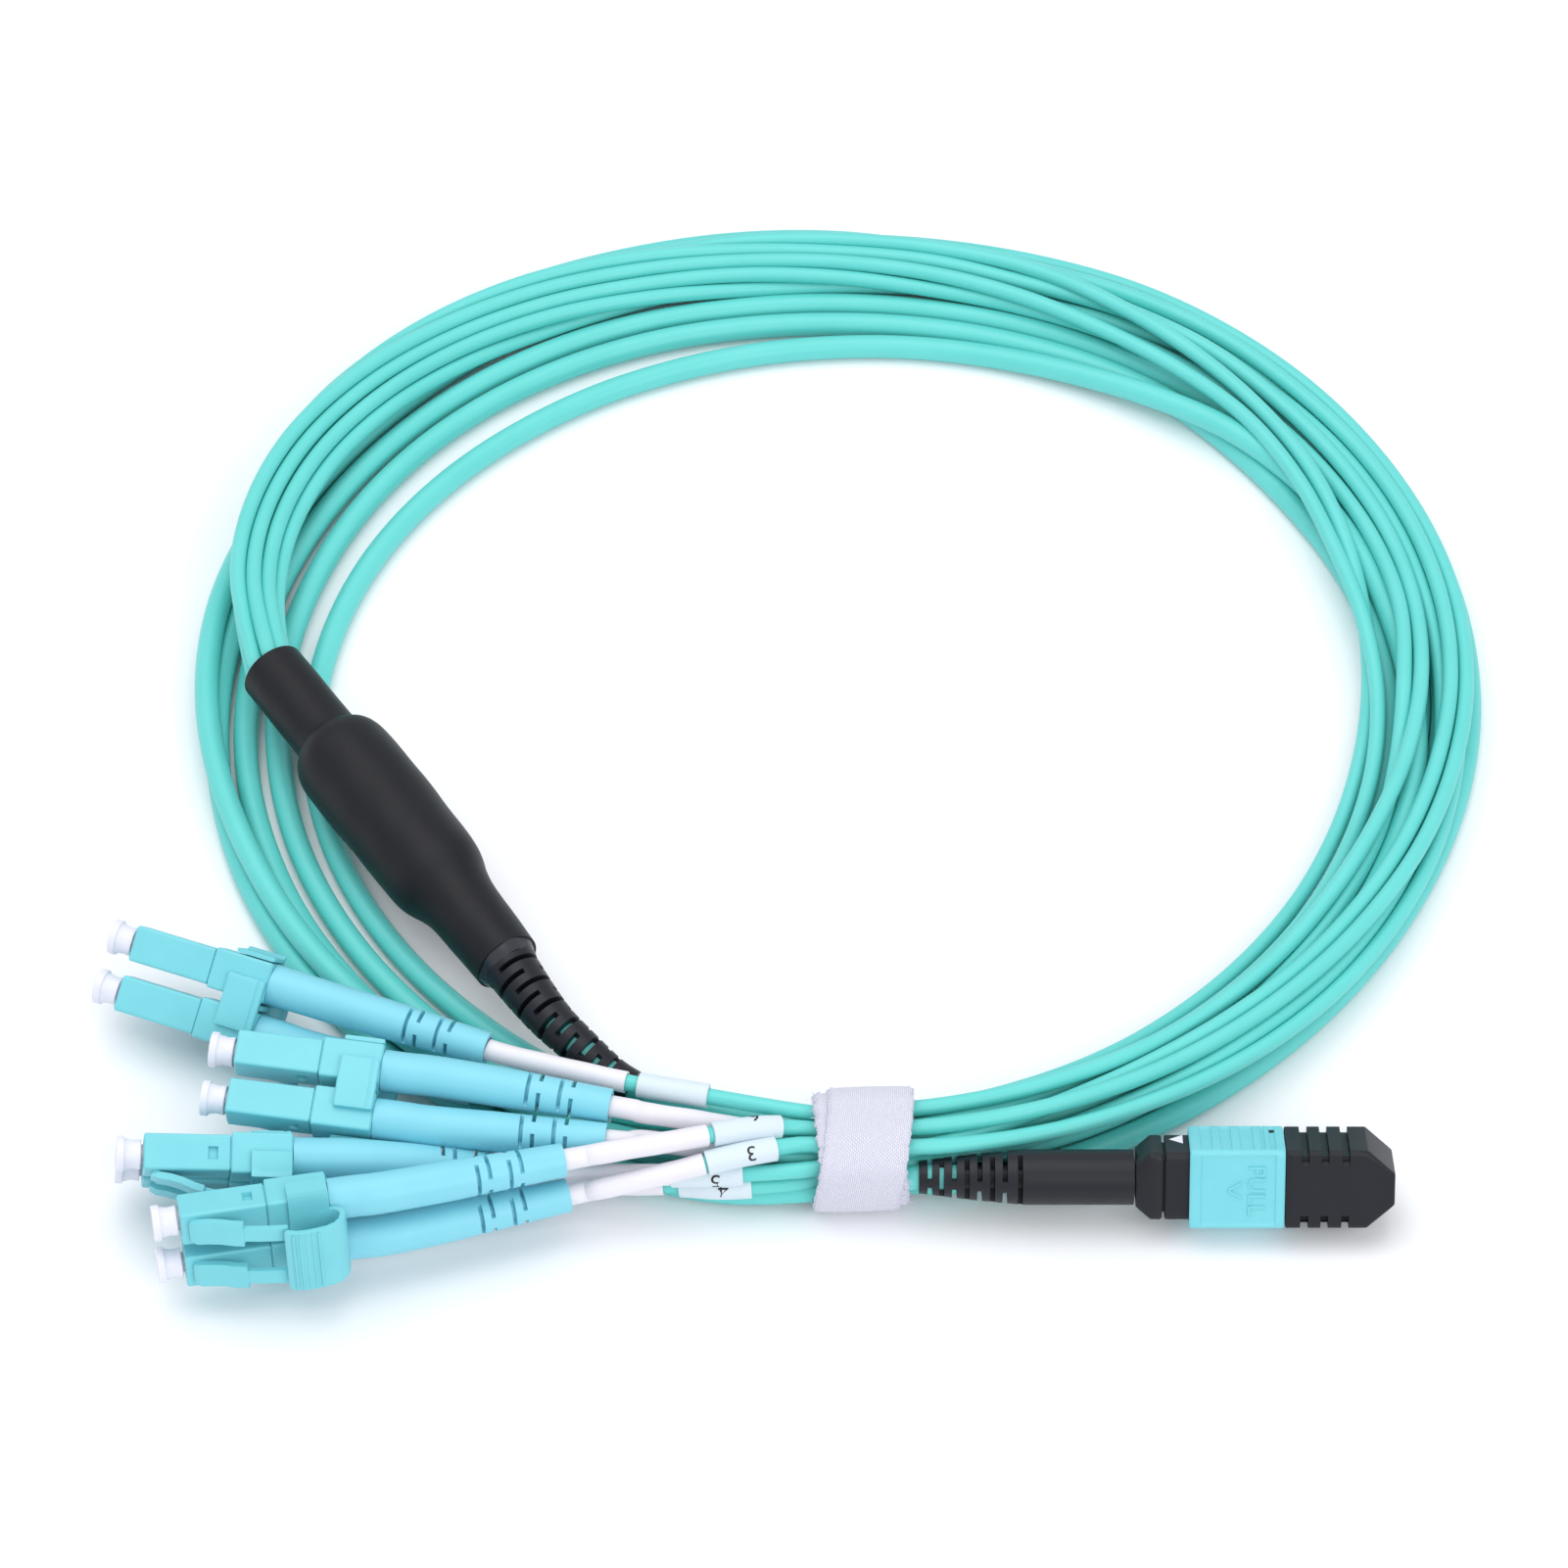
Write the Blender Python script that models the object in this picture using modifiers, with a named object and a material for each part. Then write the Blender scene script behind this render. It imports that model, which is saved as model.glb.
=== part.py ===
"""A fibre breakout cable, coiled and tied, as it lies on a table.

One 3 mm trunk runs from a push-on plug at the front right, five times round the coil and into a
black heat-shrunk fan-out. Eight 2 mm legs leave the fan-out, follow the coil to the strap and end
in four two-fibre plugs with dust caps. Metres, +Z up; the coil's centre is the design origin.
"""

import math

import bmesh
import bpy
import numpy as np
from mathutils import Matrix, Vector

# Sizes in metres. CLEARANCE parts pieces that touch on the real cable.
CLEARANCE = 0.0003
TRUNK_DIAMETER = 0.0030
LEG_DIAMETER = 0.0020

# The coil: angle in degrees, inner radius, outer radius, underside and top of its section.
# The two narrow steps are where legs and the push-on plug's trunk join it, at the strap.
COIL_SECTIONS = (
    (0, 0.0658, 0.0794, 0.0, 0.0078),
    (25, 0.0660, 0.0800, 0.0, 0.0070),
    (50, 0.0610, 0.0802, 0.0, 0.0058),
    (75, 0.0580, 0.0803, 0.0, 0.0052),
    (100, 0.0578, 0.0804, 0.0, 0.0050),
    (125, 0.0570, 0.0802, 0.0, 0.0046),
    (150, 0.0600, 0.0800, 0.0, 0.0040),
    (175, 0.0628, 0.0800, 0.0, 0.0034),
    (200, 0.0628, 0.0800, 0.0, 0.0033),
    (225, 0.0660, 0.0796, 0.0, 0.0033),
    (248, 0.0684, 0.0780, 0.0, 0.0038),
    (266.4, 0.0690, 0.0778, 0.0006, 0.0042),
    (267.0, 0.0690, 0.0796, 0.0022, 0.0108),
    (276.5, 0.0690, 0.0796, 0.0022, 0.0108),
    (276.9, 0.0688, 0.0752, 0.0018, 0.0100),
    (284, 0.0684, 0.0762, 0.0008, 0.0096),
    (292, 0.0684, 0.0772, 0.0002, 0.0094),
    (320, 0.0680, 0.0776, 0.0, 0.0090),
    (342, 0.0664, 0.0786, 0.0, 0.0084),
)
COIL_STEP_DEGREES = 5
COIL_CORNER = 0.35

# The hook-and-loop strap round the bundle.
STRAP_ANGLE = 271.8
STRAP_WIDTH = 0.0120
STRAP_THICKNESS = 0.0013
STRAP_GAP = 0.0008

# The fan-out: the places of the sleeve's two ends, and the bent boot's way on to the trunk.
FANOUT_LEG_END = (-0.0699, -0.0020, 0.0101)
FANOUT_SLEEVE_END = (-0.0400, -0.0479, 0.0097)
FANOUT_BOOT_ROUTE = (
    (-0.0349, -0.0548, 0.0091),
    (-0.0299, -0.0597, 0.0084),
    (-0.0244, -0.0631, 0.0075),
)
SLEEVE_NECK_RADIUS = 0.0037
SLEEVE_NECK_LENGTH = 0.0120
SLEEVE_BODY_RADIUS = 0.0061
SLEEVE_TAPER_LENGTH = 0.0052
SLEEVE_TAIL_LENGTH = 0.0130
SLEEVE_TAIL_RADIUS = 0.0043
FANOUT_BOOT_RADIUS = 0.0035
FANOUT_BOOT_TIP_RADIUS = 0.0021

# One two-fibre plug pair: each plug's front lies at 0, its cable leaves along +X, latch at +Z.
PLUG_PITCH = 0.00625
PLUG_FRONT_SIDE = 0.0044
PLUG_FRONT_LENGTH = 0.0103
PLUG_REAR_SIDE = 0.0050
PLUG_REAR_LENGTH = 0.0073
PLUG_CHAMFER = 0.0003
SOCKET_RADIUS = 0.0019
SOCKET_DEPTH = 0.0060
LATCH_WIDTH = 0.0026
LATCH_THICKNESS = 0.0008
LATCH_ROOT = 0.0010
LATCH_ROOT_LENGTH = 0.0031
LATCH_TAIL = 0.0123
LATCH_RISE = 0.0034
CAP_FLANGE_RADIUS = 0.00215
CAP_FLANGE_LENGTH = 0.0009
CAP_NECK_RADIUS = 0.0018
CAP_NECK_LENGTH = 0.0020
CAP_SHANK_RADIUS = 0.0012
CAP_SHANK_LENGTH = 0.0045
CAP_BORE_RADIUS = 0.0008
CAP_BORE_LENGTH = 0.0055
CLIP_START = 0.0127
CLIP_LENGTH = 0.0048
CLIP_WALL = 0.0005
CLIP_GAP = 0.00015
CLIP_BACK_WIDTH = 0.0065
TRIGGER_WIDTH = 0.0084
TRIGGER_THICKNESS = 0.0008
BOOT_LENGTH = 0.0273
BOOT_RADIUS = 0.0025
BOOT_TIP_RADIUS = 0.0020
TUBING_RADIUS = 0.0013
TUBING_LENGTH = 0.0175

# Each pair: place between its two plug fronts, then heading, pitch and roll in degrees.
PAIRS = {
    "a": ((-0.0855, -0.0480, 0.0086), -20.2, -1.3, -142.2),
    "b": ((-0.0722, -0.0669, 0.0115), -8.2, -0.9, -164.0),
    "c": ((-0.0826, -0.0776, 0.0091), 2.1, -5.0, 115.0),
    "d": ((-0.0774, -0.0898, 0.0094), 9.4, 0.6, 75.0),
}

# Where each boot's tip lies: boots bend towards each other and over their neighbours.
BOOT_TIPS = {
    "a1": (-0.0421, -0.0611, 0.0094),
    "a2": (-0.0440, -0.0640, 0.0055),
    "b1": (-0.0272, -0.0711, 0.0112),
    "b2": (-0.0277, -0.0753, 0.0100),
    "c1": (-0.0379, -0.0752, 0.0022),
    "c2": (-0.0372, -0.0774, 0.0063),
    "d1": (-0.0322, -0.0809, 0.0066),
    "d2": (-0.0327, -0.0796, 0.0117),
}

# Each leg's way from its boot to the strap, and where it enters the bundle there.
LEG_ROUTES = {
    "a1": ((-0.0253, -0.0663, 0.0096), (-0.0183, -0.0678, 0.0096)),
    "a2": ((-0.0348, -0.0662, 0.0054), (-0.0230, -0.0689, 0.0058), (-0.0137, -0.0704, 0.0060)),
    "b1": ((-0.0235, -0.0716, 0.0106), (-0.0140, -0.0721, 0.0088)),
    "b2": ((-0.0235, -0.0746, 0.0090), (-0.0140, -0.0750, 0.0078)),
    "c1": ((-0.0300, -0.0766, 0.0030), (-0.0195, -0.0775, 0.0042), (-0.0136, -0.0785, 0.0050)),
    "c2": ((-0.0299, -0.0771, 0.0058), (-0.0160, -0.0782, 0.0070)),
    "d1": ((-0.0287, -0.0808, 0.0076), (-0.0206, -0.0797, 0.0092), (-0.0125, -0.0777, 0.0100)),
    "d2": ((-0.0286, -0.0789, 0.0120), (-0.0206, -0.0774, 0.0123), (-0.0105, -0.0744, 0.0110)),
}
LEG_ENDS = {
    "a1": (-0.0706, 0.0095),
    "d2": (-0.0731, 0.0095),
    "d1": (-0.0756, 0.0095),
    "a2": (-0.0708, 0.0070),
    "b1": (-0.0731, 0.0071),
    "b2": (-0.0755, 0.0071),
    "c2": (-0.0779, 0.0075),
    "c1": (-0.0779, 0.0052),
}
LEG_END_X = -0.0048
LEG_BUNDLE_RADIUS = 0.0032
LEG_BUNDLE_ROUTE = (
    (-0.0772, 0.0150, 0.0098),
    (-0.0757, 0.0230, 0.0086),
    (-0.0715, 0.0330, 0.0078),
)
TRUNK_TAIL_END = (-0.0152, -0.0678, 0.0066)

# The push-on plug at the trunk's start: its axis runs along +X.
PUSH_PLUG_Y = -0.0780
PUSH_PLUG_Z = 0.00633
PUSH_PLUG_ROLL = 62.0
PUSH_BOOT_START = 0.0094
PUSH_BOOT_LENGTH = 0.0254
PUSH_BOOT_TIP_RADIUS = 0.0019
PUSH_BOOT_RADIUS = 0.0033
PUSH_BOOT_TAPER = 0.0125
REAR_SHELL_LENGTH = 0.0031
HOUSING_WIDTH = 0.0086
HOUSING_HEIGHT = 0.0062
HOUSING_LENGTH = 0.0142
NOSE_WIDTH = 0.0078
NOSE_HEIGHT = 0.0054
NOSE_LENGTH = 0.0060
PULL_SLEEVE_WALL = 0.0008
PULL_SLEEVE_LENGTH = 0.0113
PULL_SLEEVE_TRAVEL = 0.0026
PUSH_CAP_LENGTH = 0.0132
PUSH_CAP_DEPTH = 0.0080
PUSH_CAP_ROOF = 0.0036
PUSH_CAP_TIP_WIDTH = 0.0042
EDGE_BEVEL = 0.0006

ROUND_SIDES = 16
TINY = 0.00001

COLOURS = {
    "aqua_cable": ((0.16, 0.70, 0.62), 0.45),
    "aqua_moulding": ((0.22, 0.62, 0.72), 0.40),
    "black_moulding": ((0.018, 0.020, 0.024), 0.45),
    "black_heat_shrink": ((0.012, 0.012, 0.014), 0.50),
    "white_cap": ((0.82, 0.83, 0.90), 0.35),
    "white_tubing": ((0.80, 0.80, 0.84), 0.50),
    "white_strap": ((0.80, 0.80, 0.88), 0.90),
}


def clear_scene():
    for old in list(bpy.data.objects):
        bpy.data.objects.remove(old, do_unlink=True)


def make_material(name, colour, roughness):
    material = bpy.data.materials.new(name)
    material.use_nodes = True
    shader = material.node_tree.nodes["Principled BSDF"]
    shader.inputs["Base Color"].default_value = (*colour, 1.0)
    shader.inputs["Roughness"].default_value = roughness
    return material


clear_scene()
PARTS = bpy.data.collections.new("fibre_breakout_cable")
HELPERS = bpy.data.collections.new("helpers")
bpy.context.scene.collection.children.link(PARTS)
bpy.context.scene.collection.children.link(HELPERS)
MATERIALS = {name: make_material(name, *look) for name, look in COLOURS.items()}
DESIGN_ORIGIN = bpy.data.objects.new("design_origin", None)
PARTS.objects.link(DESIGN_ORIGIN)


def add_part(name, data, material, place=None):
    """A named piece of the cable, placed by a matrix under the design origin."""
    part = bpy.data.objects.new(name, data)
    if not data.materials:
        data.materials.append(MATERIALS[material])
    PARTS.objects.link(part)
    part.parent = DESIGN_ORIGIN
    part.matrix_local = place if place is not None else Matrix.Identity(4)
    return part


def add_helper(name, data):
    helper = bpy.data.objects.new(name, data)
    helper.hide_render = True
    helper.display_type = "WIRE"
    HELPERS.objects.link(helper)
    return helper


def baked(helper):
    """The helper's shape with its modifiers applied, as a new mesh; the helper is removed."""
    bpy.context.view_layer.update()
    graph = bpy.context.evaluated_depsgraph_get()
    mesh = bpy.data.meshes.new_from_object(helper.evaluated_get(graph))
    mesh.transform(helper.matrix_world)
    work = bmesh.new()
    work.from_mesh(mesh)
    bmesh.ops.remove_doubles(work, verts=work.verts, dist=TINY)
    bmesh.ops.recalc_face_normals(work, faces=work.faces)
    work.to_mesh(mesh)
    work.free()
    mesh.materials.clear()
    bpy.data.objects.remove(helper, do_unlink=True)
    return mesh


def block_mesh(name, low, high, bevel=0.0):
    """A box between two corners, its edges along X rounded by a bevel of this width."""
    work = bmesh.new()
    bmesh.ops.create_cube(work, size=1.0)
    size = [b - a for a, b in zip(low, high)]
    middle = [(a + b) / 2 for a, b in zip(low, high)]
    bmesh.ops.scale(work, vec=size, verts=work.verts)
    bmesh.ops.translate(work, vec=middle, verts=work.verts)
    if bevel:
        along = [e for e in work.edges if abs(e.verts[0].co.x - e.verts[1].co.x) > TINY]
        bmesh.ops.bevel(work, geom=along, offset=bevel, segments=2, profile=0.5, affect="EDGES")
    mesh = bpy.data.meshes.new(name)
    work.to_mesh(mesh)
    work.free()
    return mesh


def turned_mesh(name, profile):
    """A round solid on the X axis: profile lists (distance along X, radius), rising in X."""
    mesh = bpy.data.meshes.new(name)
    ends = [(0.0, 0.0, profile[-1][0])]
    ends += [(radius, 0.0, along) for along, radius in reversed(profile)]
    ends += [(0.0, 0.0, profile[0][0])]
    mesh.from_pydata(ends, [(i, i + 1) for i in range(len(ends) - 1)], [])
    helper = add_helper(name, mesh)
    screw = helper.modifiers.new("turn", "SCREW")
    screw.axis = "Z"
    screw.steps = screw.render_steps = ROUND_SIDES
    screw.use_merge_vertices = True
    screw.merge_threshold = TINY
    helper.rotation_euler = (0.0, math.radians(90), 0.0)
    mesh = baked(helper)
    mesh.shade_smooth()
    mesh.set_sharp_from_angle(angle=math.radians(40))
    return mesh


def outline_mesh(name, points, width, plane):
    """A flat outline with a thickness, centred: plane xz spreads it along Y, plane yz from X 0."""
    curve = bpy.data.curves.new(name, "CURVE")
    curve.dimensions = "2D"
    curve.fill_mode = "BOTH"
    curve.extrude = width / 2
    spline = curve.splines.new("POLY")
    spline.points.add(len(points) - 1)
    for point, (a, b) in zip(spline.points, points):
        point.co = (a, b, 0.0, 1.0)
    spline.use_cyclic_u = True
    helper = add_helper(name, curve)
    if plane == "xz":
        helper.rotation_euler = (math.radians(90), 0.0, 0.0)
    else:
        helper.matrix_world = Matrix(
            ((0, 0, 1, width / 2), (1, 0, 0, 0), (0, 1, 0, 0), (0, 0, 0, 1))
        )
    return baked(helper)


def combined(name, first, others, operation="UNION"):
    """One mesh from several by Booleans."""
    helper = add_helper(name, first)
    helpers = []
    for index, mesh in enumerate(others):
        other = add_helper(f"{name}_{index}", mesh)
        helpers.append(other)
        boolean = helper.modifiers.new(f"join_{index}", "BOOLEAN")
        boolean.operation = operation
        boolean.solver = "EXACT"
        boolean.object = other
    mesh = baked(helper)
    for other in helpers:
        bpy.data.objects.remove(other, do_unlink=True)
    return mesh


def smooth_points(points, spacing):
    """Points about this far apart on the smooth curve through the given ones (Catmull-Rom)."""
    given = [Vector(p) for p in points]
    padded = [2 * given[0] - given[1], *given, 2 * given[-1] - given[-2]]
    found = []
    for before, start, end, after in zip(padded, padded[1:], padded[2:], padded[3:]):
        steps = max(2, round((end - start).length / spacing))
        for step in range(steps):
            t = step / steps
            found.append(
                0.5
                * (
                    2 * start
                    + (end - before) * t
                    + (2 * before - 5 * start + 4 * end - after) * t**2
                    + (3 * start - before - 3 * end + after) * t**3
                )
            )
    found.append(given[-1])
    return found


def along_route(points, start, length=None):
    """The stretch of a list of points that begins at this distance along it."""
    run = [0.0]
    for a, b in zip(points, points[1:]):
        run.append(run[-1] + (b - a).length)
    end = run[-1] if length is None else start + length
    wanted = [start, *[r for r in run if start + TINY < r < end - TINY], end]
    columns = [np.interp(wanted, run, [p[k] for p in points]) for k in range(3)]
    return [Vector(p) for p in zip(*columns)]


def tube(name, points, radius, material):
    curve = bpy.data.curves.new(name, "CURVE")
    curve.dimensions = "3D"
    curve.bevel_depth = radius
    curve.bevel_resolution = 2
    curve.use_fill_caps = True
    spline = curve.splines.new("POLY")
    spline.points.add(len(points) - 1)
    for point, place in zip(spline.points, points):
        point.co = (*place, 1.0)
    return add_part(name, curve, material)


def tapered_tube(name, points, first_radius, last_radius, material):
    """A tube whose radius falls evenly along its length: a strain-relief boot."""
    boot = tube(name, points, first_radius, material)
    run = [0.0]
    for a, b in zip(points, points[1:]):
        run.append(run[-1] + (b - a).length)
    for point, along in zip(boot.data.splines[0].points, run):
        point.radius = 1 + (last_radius / first_radius - 1) * along / run[-1]


def coil_section(angle):
    """Inner radius, outer radius, underside and top of the coil at an angle in degrees."""
    first = COIL_SECTIONS[0]
    table = np.array([*COIL_SECTIONS, (first[0] + 360, *first[1:])])
    return [float(np.interp(angle % 360, table[:, 0], table[:, k])) for k in range(1, 5)]


def section_loop(low_r, high_r, low_z, high_z):
    """Eight corners of a flattened section, as (radius, height), with its corners cut."""
    cut_r = COIL_CORNER * min(high_r - low_r, high_z - low_z)
    cut_z = cut_r
    return [
        (low_r + cut_r, low_z),
        (high_r - cut_r, low_z),
        (high_r, low_z + cut_z),
        (high_r, high_z - cut_z),
        (high_r - cut_r, high_z),
        (low_r + cut_r, high_z),
        (low_r, high_z - cut_z),
        (low_r, low_z + cut_z),
    ]


def build_coil():
    """One closed ring of the coil's outer shape, a loft between its unlike sections."""
    angles = set(range(0, 360, COIL_STEP_DEGREES)) | {row[0] for row in COIL_SECTIONS}
    rows = []
    for angle in sorted(angles):
        turn = math.radians(angle)
        loop = section_loop(*coil_section(angle))
        rows.append([(r * math.cos(turn), r * math.sin(turn), z) for r, z in loop])
    corners = len(rows[0])
    points = [p for row in rows for p in row]
    faces = []
    for i in range(len(rows)):
        j = (i + 1) % len(rows)
        for k in range(corners):
            m = (k + 1) % corners
            faces.append((i * corners + k, i * corners + m, j * corners + m, j * corners + k))
    mesh = bpy.data.meshes.new("coil")
    mesh.from_pydata(points, [], faces)
    work = bmesh.new()
    work.from_mesh(mesh)
    bmesh.ops.recalc_face_normals(work, faces=work.faces)
    work.to_mesh(mesh)
    work.free()
    return add_part("coil", mesh, "aqua_cable")


def build_strap():
    """A band round the bundle, as a thick outline that follows the coil's section."""
    low_r, high_r, low_z, high_z = coil_section(STRAP_ANGLE)
    gap = STRAP_GAP
    inner = section_loop(low_r - gap, high_r + gap, low_z - gap, high_z + gap)
    wall = gap + STRAP_THICKNESS
    outer = section_loop(low_r - wall, high_r + wall, low_z - wall, high_z + wall)
    shell = outline_mesh("strap_outer", outer, STRAP_WIDTH, "yz")
    hole = outline_mesh("strap_inner", inner, 2 * STRAP_WIDTH, "yz")
    hole.transform(Matrix.Translation((-STRAP_WIDTH / 2, 0, 0)))
    mesh = combined("strap", shell, [hole], "DIFFERENCE")
    turn = Matrix.Rotation(math.radians(STRAP_ANGLE - 90), 4, "Z")
    return add_part("strap", mesh, "white_strap", turn @ Matrix.Translation((-STRAP_WIDTH / 2, 0, 0)))


def axis_place(start, end):
    """A matrix that puts the X axis on the line from start to end."""
    start = Vector(start)
    along = (Vector(end) - start).normalized()
    return Matrix.Translation(start) @ along.to_track_quat("X", "Z").to_matrix().to_4x4()


def build_fanout():
    """The heat-shrunk sleeve over the fan-out, and the bent boot on the trunk's side."""
    place = axis_place(FANOUT_LEG_END, FANOUT_SLEEVE_END)
    length = (Vector(FANOUT_SLEEVE_END) - Vector(FANOUT_LEG_END)).length
    body_start = SLEEVE_NECK_LENGTH + SLEEVE_TAPER_LENGTH * 0.6
    body_end = length - SLEEVE_TAIL_LENGTH - SLEEVE_TAPER_LENGTH
    sleeve = (
        (0.0, SLEEVE_NECK_RADIUS),
        (SLEEVE_NECK_LENGTH * 0.8, SLEEVE_NECK_RADIUS * 1.04),
        (SLEEVE_NECK_LENGTH, SLEEVE_NECK_RADIUS * 1.18),
        (body_start, SLEEVE_BODY_RADIUS * 0.93),
        (body_start + SLEEVE_TAPER_LENGTH * 0.5, SLEEVE_BODY_RADIUS),
        (body_end, SLEEVE_BODY_RADIUS),
        (body_end + SLEEVE_TAPER_LENGTH * 0.5, SLEEVE_BODY_RADIUS * 0.91),
        (length - SLEEVE_TAIL_LENGTH, SLEEVE_TAIL_RADIUS * 1.14),
        (length - SLEEVE_TAIL_LENGTH * 0.6, SLEEVE_TAIL_RADIUS),
        (length, SLEEVE_TAIL_RADIUS * 0.96),
    )
    add_part("fanout_sleeve", turned_mesh("fanout_sleeve", sleeve), "black_heat_shrink", place)
    ahead = place @ Vector((length + CLEARANCE, 0, 0))
    route = smooth_points([ahead, *FANOUT_BOOT_ROUTE], FANOUT_BOOT_RADIUS)
    tapered_tube("fanout_boot", route, FANOUT_BOOT_RADIUS, FANOUT_BOOT_TIP_RADIUS, "black_moulding")
    return place, route


def latch_outline():
    """Side view of the latch arm: a root on the plug's front that rises to a free tail."""
    top = PLUG_FRONT_SIDE / 2
    root_end = LATCH_ROOT + LATCH_ROOT_LENGTH
    root_top = top + 1.4 * LATCH_THICKNESS
    return [
        (LATCH_ROOT, top - LATCH_THICKNESS / 2),
        (root_end, top - LATCH_THICKNESS / 2),
        (root_end, top + LATCH_THICKNESS / 4),
        (LATCH_TAIL, top + LATCH_RISE - LATCH_THICKNESS),
        (LATCH_TAIL, top + LATCH_RISE),
        (root_end, root_top),
        (LATCH_ROOT + LATCH_THICKNESS / 2, root_top),
        (LATCH_ROOT, root_top - LATCH_THICKNESS / 2),
    ]


def plug_mesh():
    """The moulded plug: front and rear blocks, the latch on top and the socket in front."""
    half = PLUG_FRONT_SIDE / 2
    rear = PLUG_REAR_SIDE / 2
    seam = PLUG_FRONT_LENGTH
    front = block_mesh("plug_front", (0, -half, -half), (seam + TINY * 10, half, half), PLUG_CHAMFER)
    back = block_mesh("plug_back", (seam, -rear, -rear), (seam + PLUG_REAR_LENGTH, rear, rear), PLUG_CHAMFER)
    latch = outline_mesh("plug_latch", latch_outline(), LATCH_WIDTH, "xz")
    socket = turned_mesh("plug_socket", ((-0.001, SOCKET_RADIUS), (SOCKET_DEPTH, SOCKET_RADIUS)))
    solid = combined("plug_solid", front, [back, latch])
    return combined("lc_plug", solid, [socket], "DIFFERENCE")


def cap_mesh():
    """A dust cap: flange, waisted neck, and a shank with a blind bore for the ferrule."""
    neck_end = -CLEARANCE
    neck_start = neck_end - CAP_NECK_LENGTH
    flange_start = neck_start - CAP_FLANGE_LENGTH
    body = turned_mesh(
        "cap_body",
        (
            (flange_start, CAP_FLANGE_RADIUS),
            (neck_start, CAP_FLANGE_RADIUS),
            (neck_start, CAP_NECK_RADIUS * 1.04),
            (neck_start + CAP_NECK_LENGTH / 2, CAP_NECK_RADIUS * 0.94),
            (neck_end, CAP_NECK_RADIUS),
            (neck_end, CAP_SHANK_RADIUS),
            (CAP_SHANK_LENGTH, CAP_SHANK_RADIUS),
        ),
    )
    bore_start = CAP_SHANK_LENGTH - CAP_BORE_LENGTH
    bore = turned_mesh("cap_bore", ((bore_start, CAP_BORE_RADIUS), (CAP_SHANK_LENGTH + 0.001, CAP_BORE_RADIUS)))
    return combined("lc_cap", body, [bore], "DIFFERENCE")


def trigger_outline():
    """Side view of the trigger: a strip that leaves the clip's rear and arches over the tails."""
    root = PLUG_REAR_SIDE / 2 + CLIP_GAP
    rear = CLIP_START + CLIP_LENGTH
    tail_top = PLUG_FRONT_SIDE / 2 + LATCH_RISE
    under = tail_top + CLEARANCE
    front = LATCH_TAIL - 0.0004
    centre = [
        (rear - 0.0012, root + CLIP_WALL / 2),
        (rear + 0.0006, root + CLIP_WALL / 2),
        (rear + 0.0014, (root + under) / 2),
        (rear + 0.0004, under),
        (rear - 0.0018, under + TRIGGER_THICKNESS),
        (front + 0.0014, under + TRIGGER_THICKNESS),
        (front, under + TRIGGER_THICKNESS / 2),
    ]
    middle = np.array(centre)
    ahead = np.gradient(middle, axis=0)
    ahead /= np.linalg.norm(ahead, axis=1)[:, None]
    side = np.stack([-ahead[:, 1], ahead[:, 0]], axis=1) * TRIGGER_THICKNESS / 2
    return [tuple(p) for p in np.concatenate([middle + side, (middle - side)[::-1]])]


def clip_mesh():
    """The clip that joins two plugs: a wall between them, a plate each side, lips, a trigger."""
    rear = PLUG_REAR_SIDE / 2 + CLIP_GAP
    outer = PLUG_PITCH / 2 + rear + CLIP_WALL
    inner = outer - CLIP_WALL
    web = (PLUG_PITCH - PLUG_REAR_SIDE) / 2 - CLIP_GAP
    back = CLIP_BACK_WIDTH / 2
    lip = PLUG_REAR_SIDE / 2 - CLIP_WALL
    half = [
        (outer, -lip),
        (outer, rear + CLIP_WALL),
        (-outer, rear + CLIP_WALL),
        (-outer, -lip),
        (-inner, -lip),
        (-inner, rear),
        (-web, rear),
        (-web, -rear),
        (-back, -rear),
        (-back, -rear - CLIP_WALL),
        (back, -rear - CLIP_WALL),
        (back, -rear),
        (web, -rear),
        (web, rear),
        (inner, rear),
        (inner, -lip),
    ]
    section = outline_mesh("clip_section", half, CLIP_LENGTH, "yz")
    section.transform(Matrix.Translation((CLIP_START, 0, 0)))
    trigger = outline_mesh("clip_trigger", trigger_outline(), TRIGGER_WIDTH, "xz")
    return combined("lc_clip", section, [trigger])


def pair_place(pair):
    """The matrix of a pair: its plugs' axis along X, one plug on each side in Y, latch at +Z."""
    at, heading, pitch, roll = PAIRS[pair]
    turn = Matrix.Rotation(math.radians(heading), 4, "Z")
    tip = Matrix.Rotation(-math.radians(pitch), 4, "Y")
    return Matrix.Translation(at) @ turn @ tip @ Matrix.Rotation(math.radians(roll), 4, "X")


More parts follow.
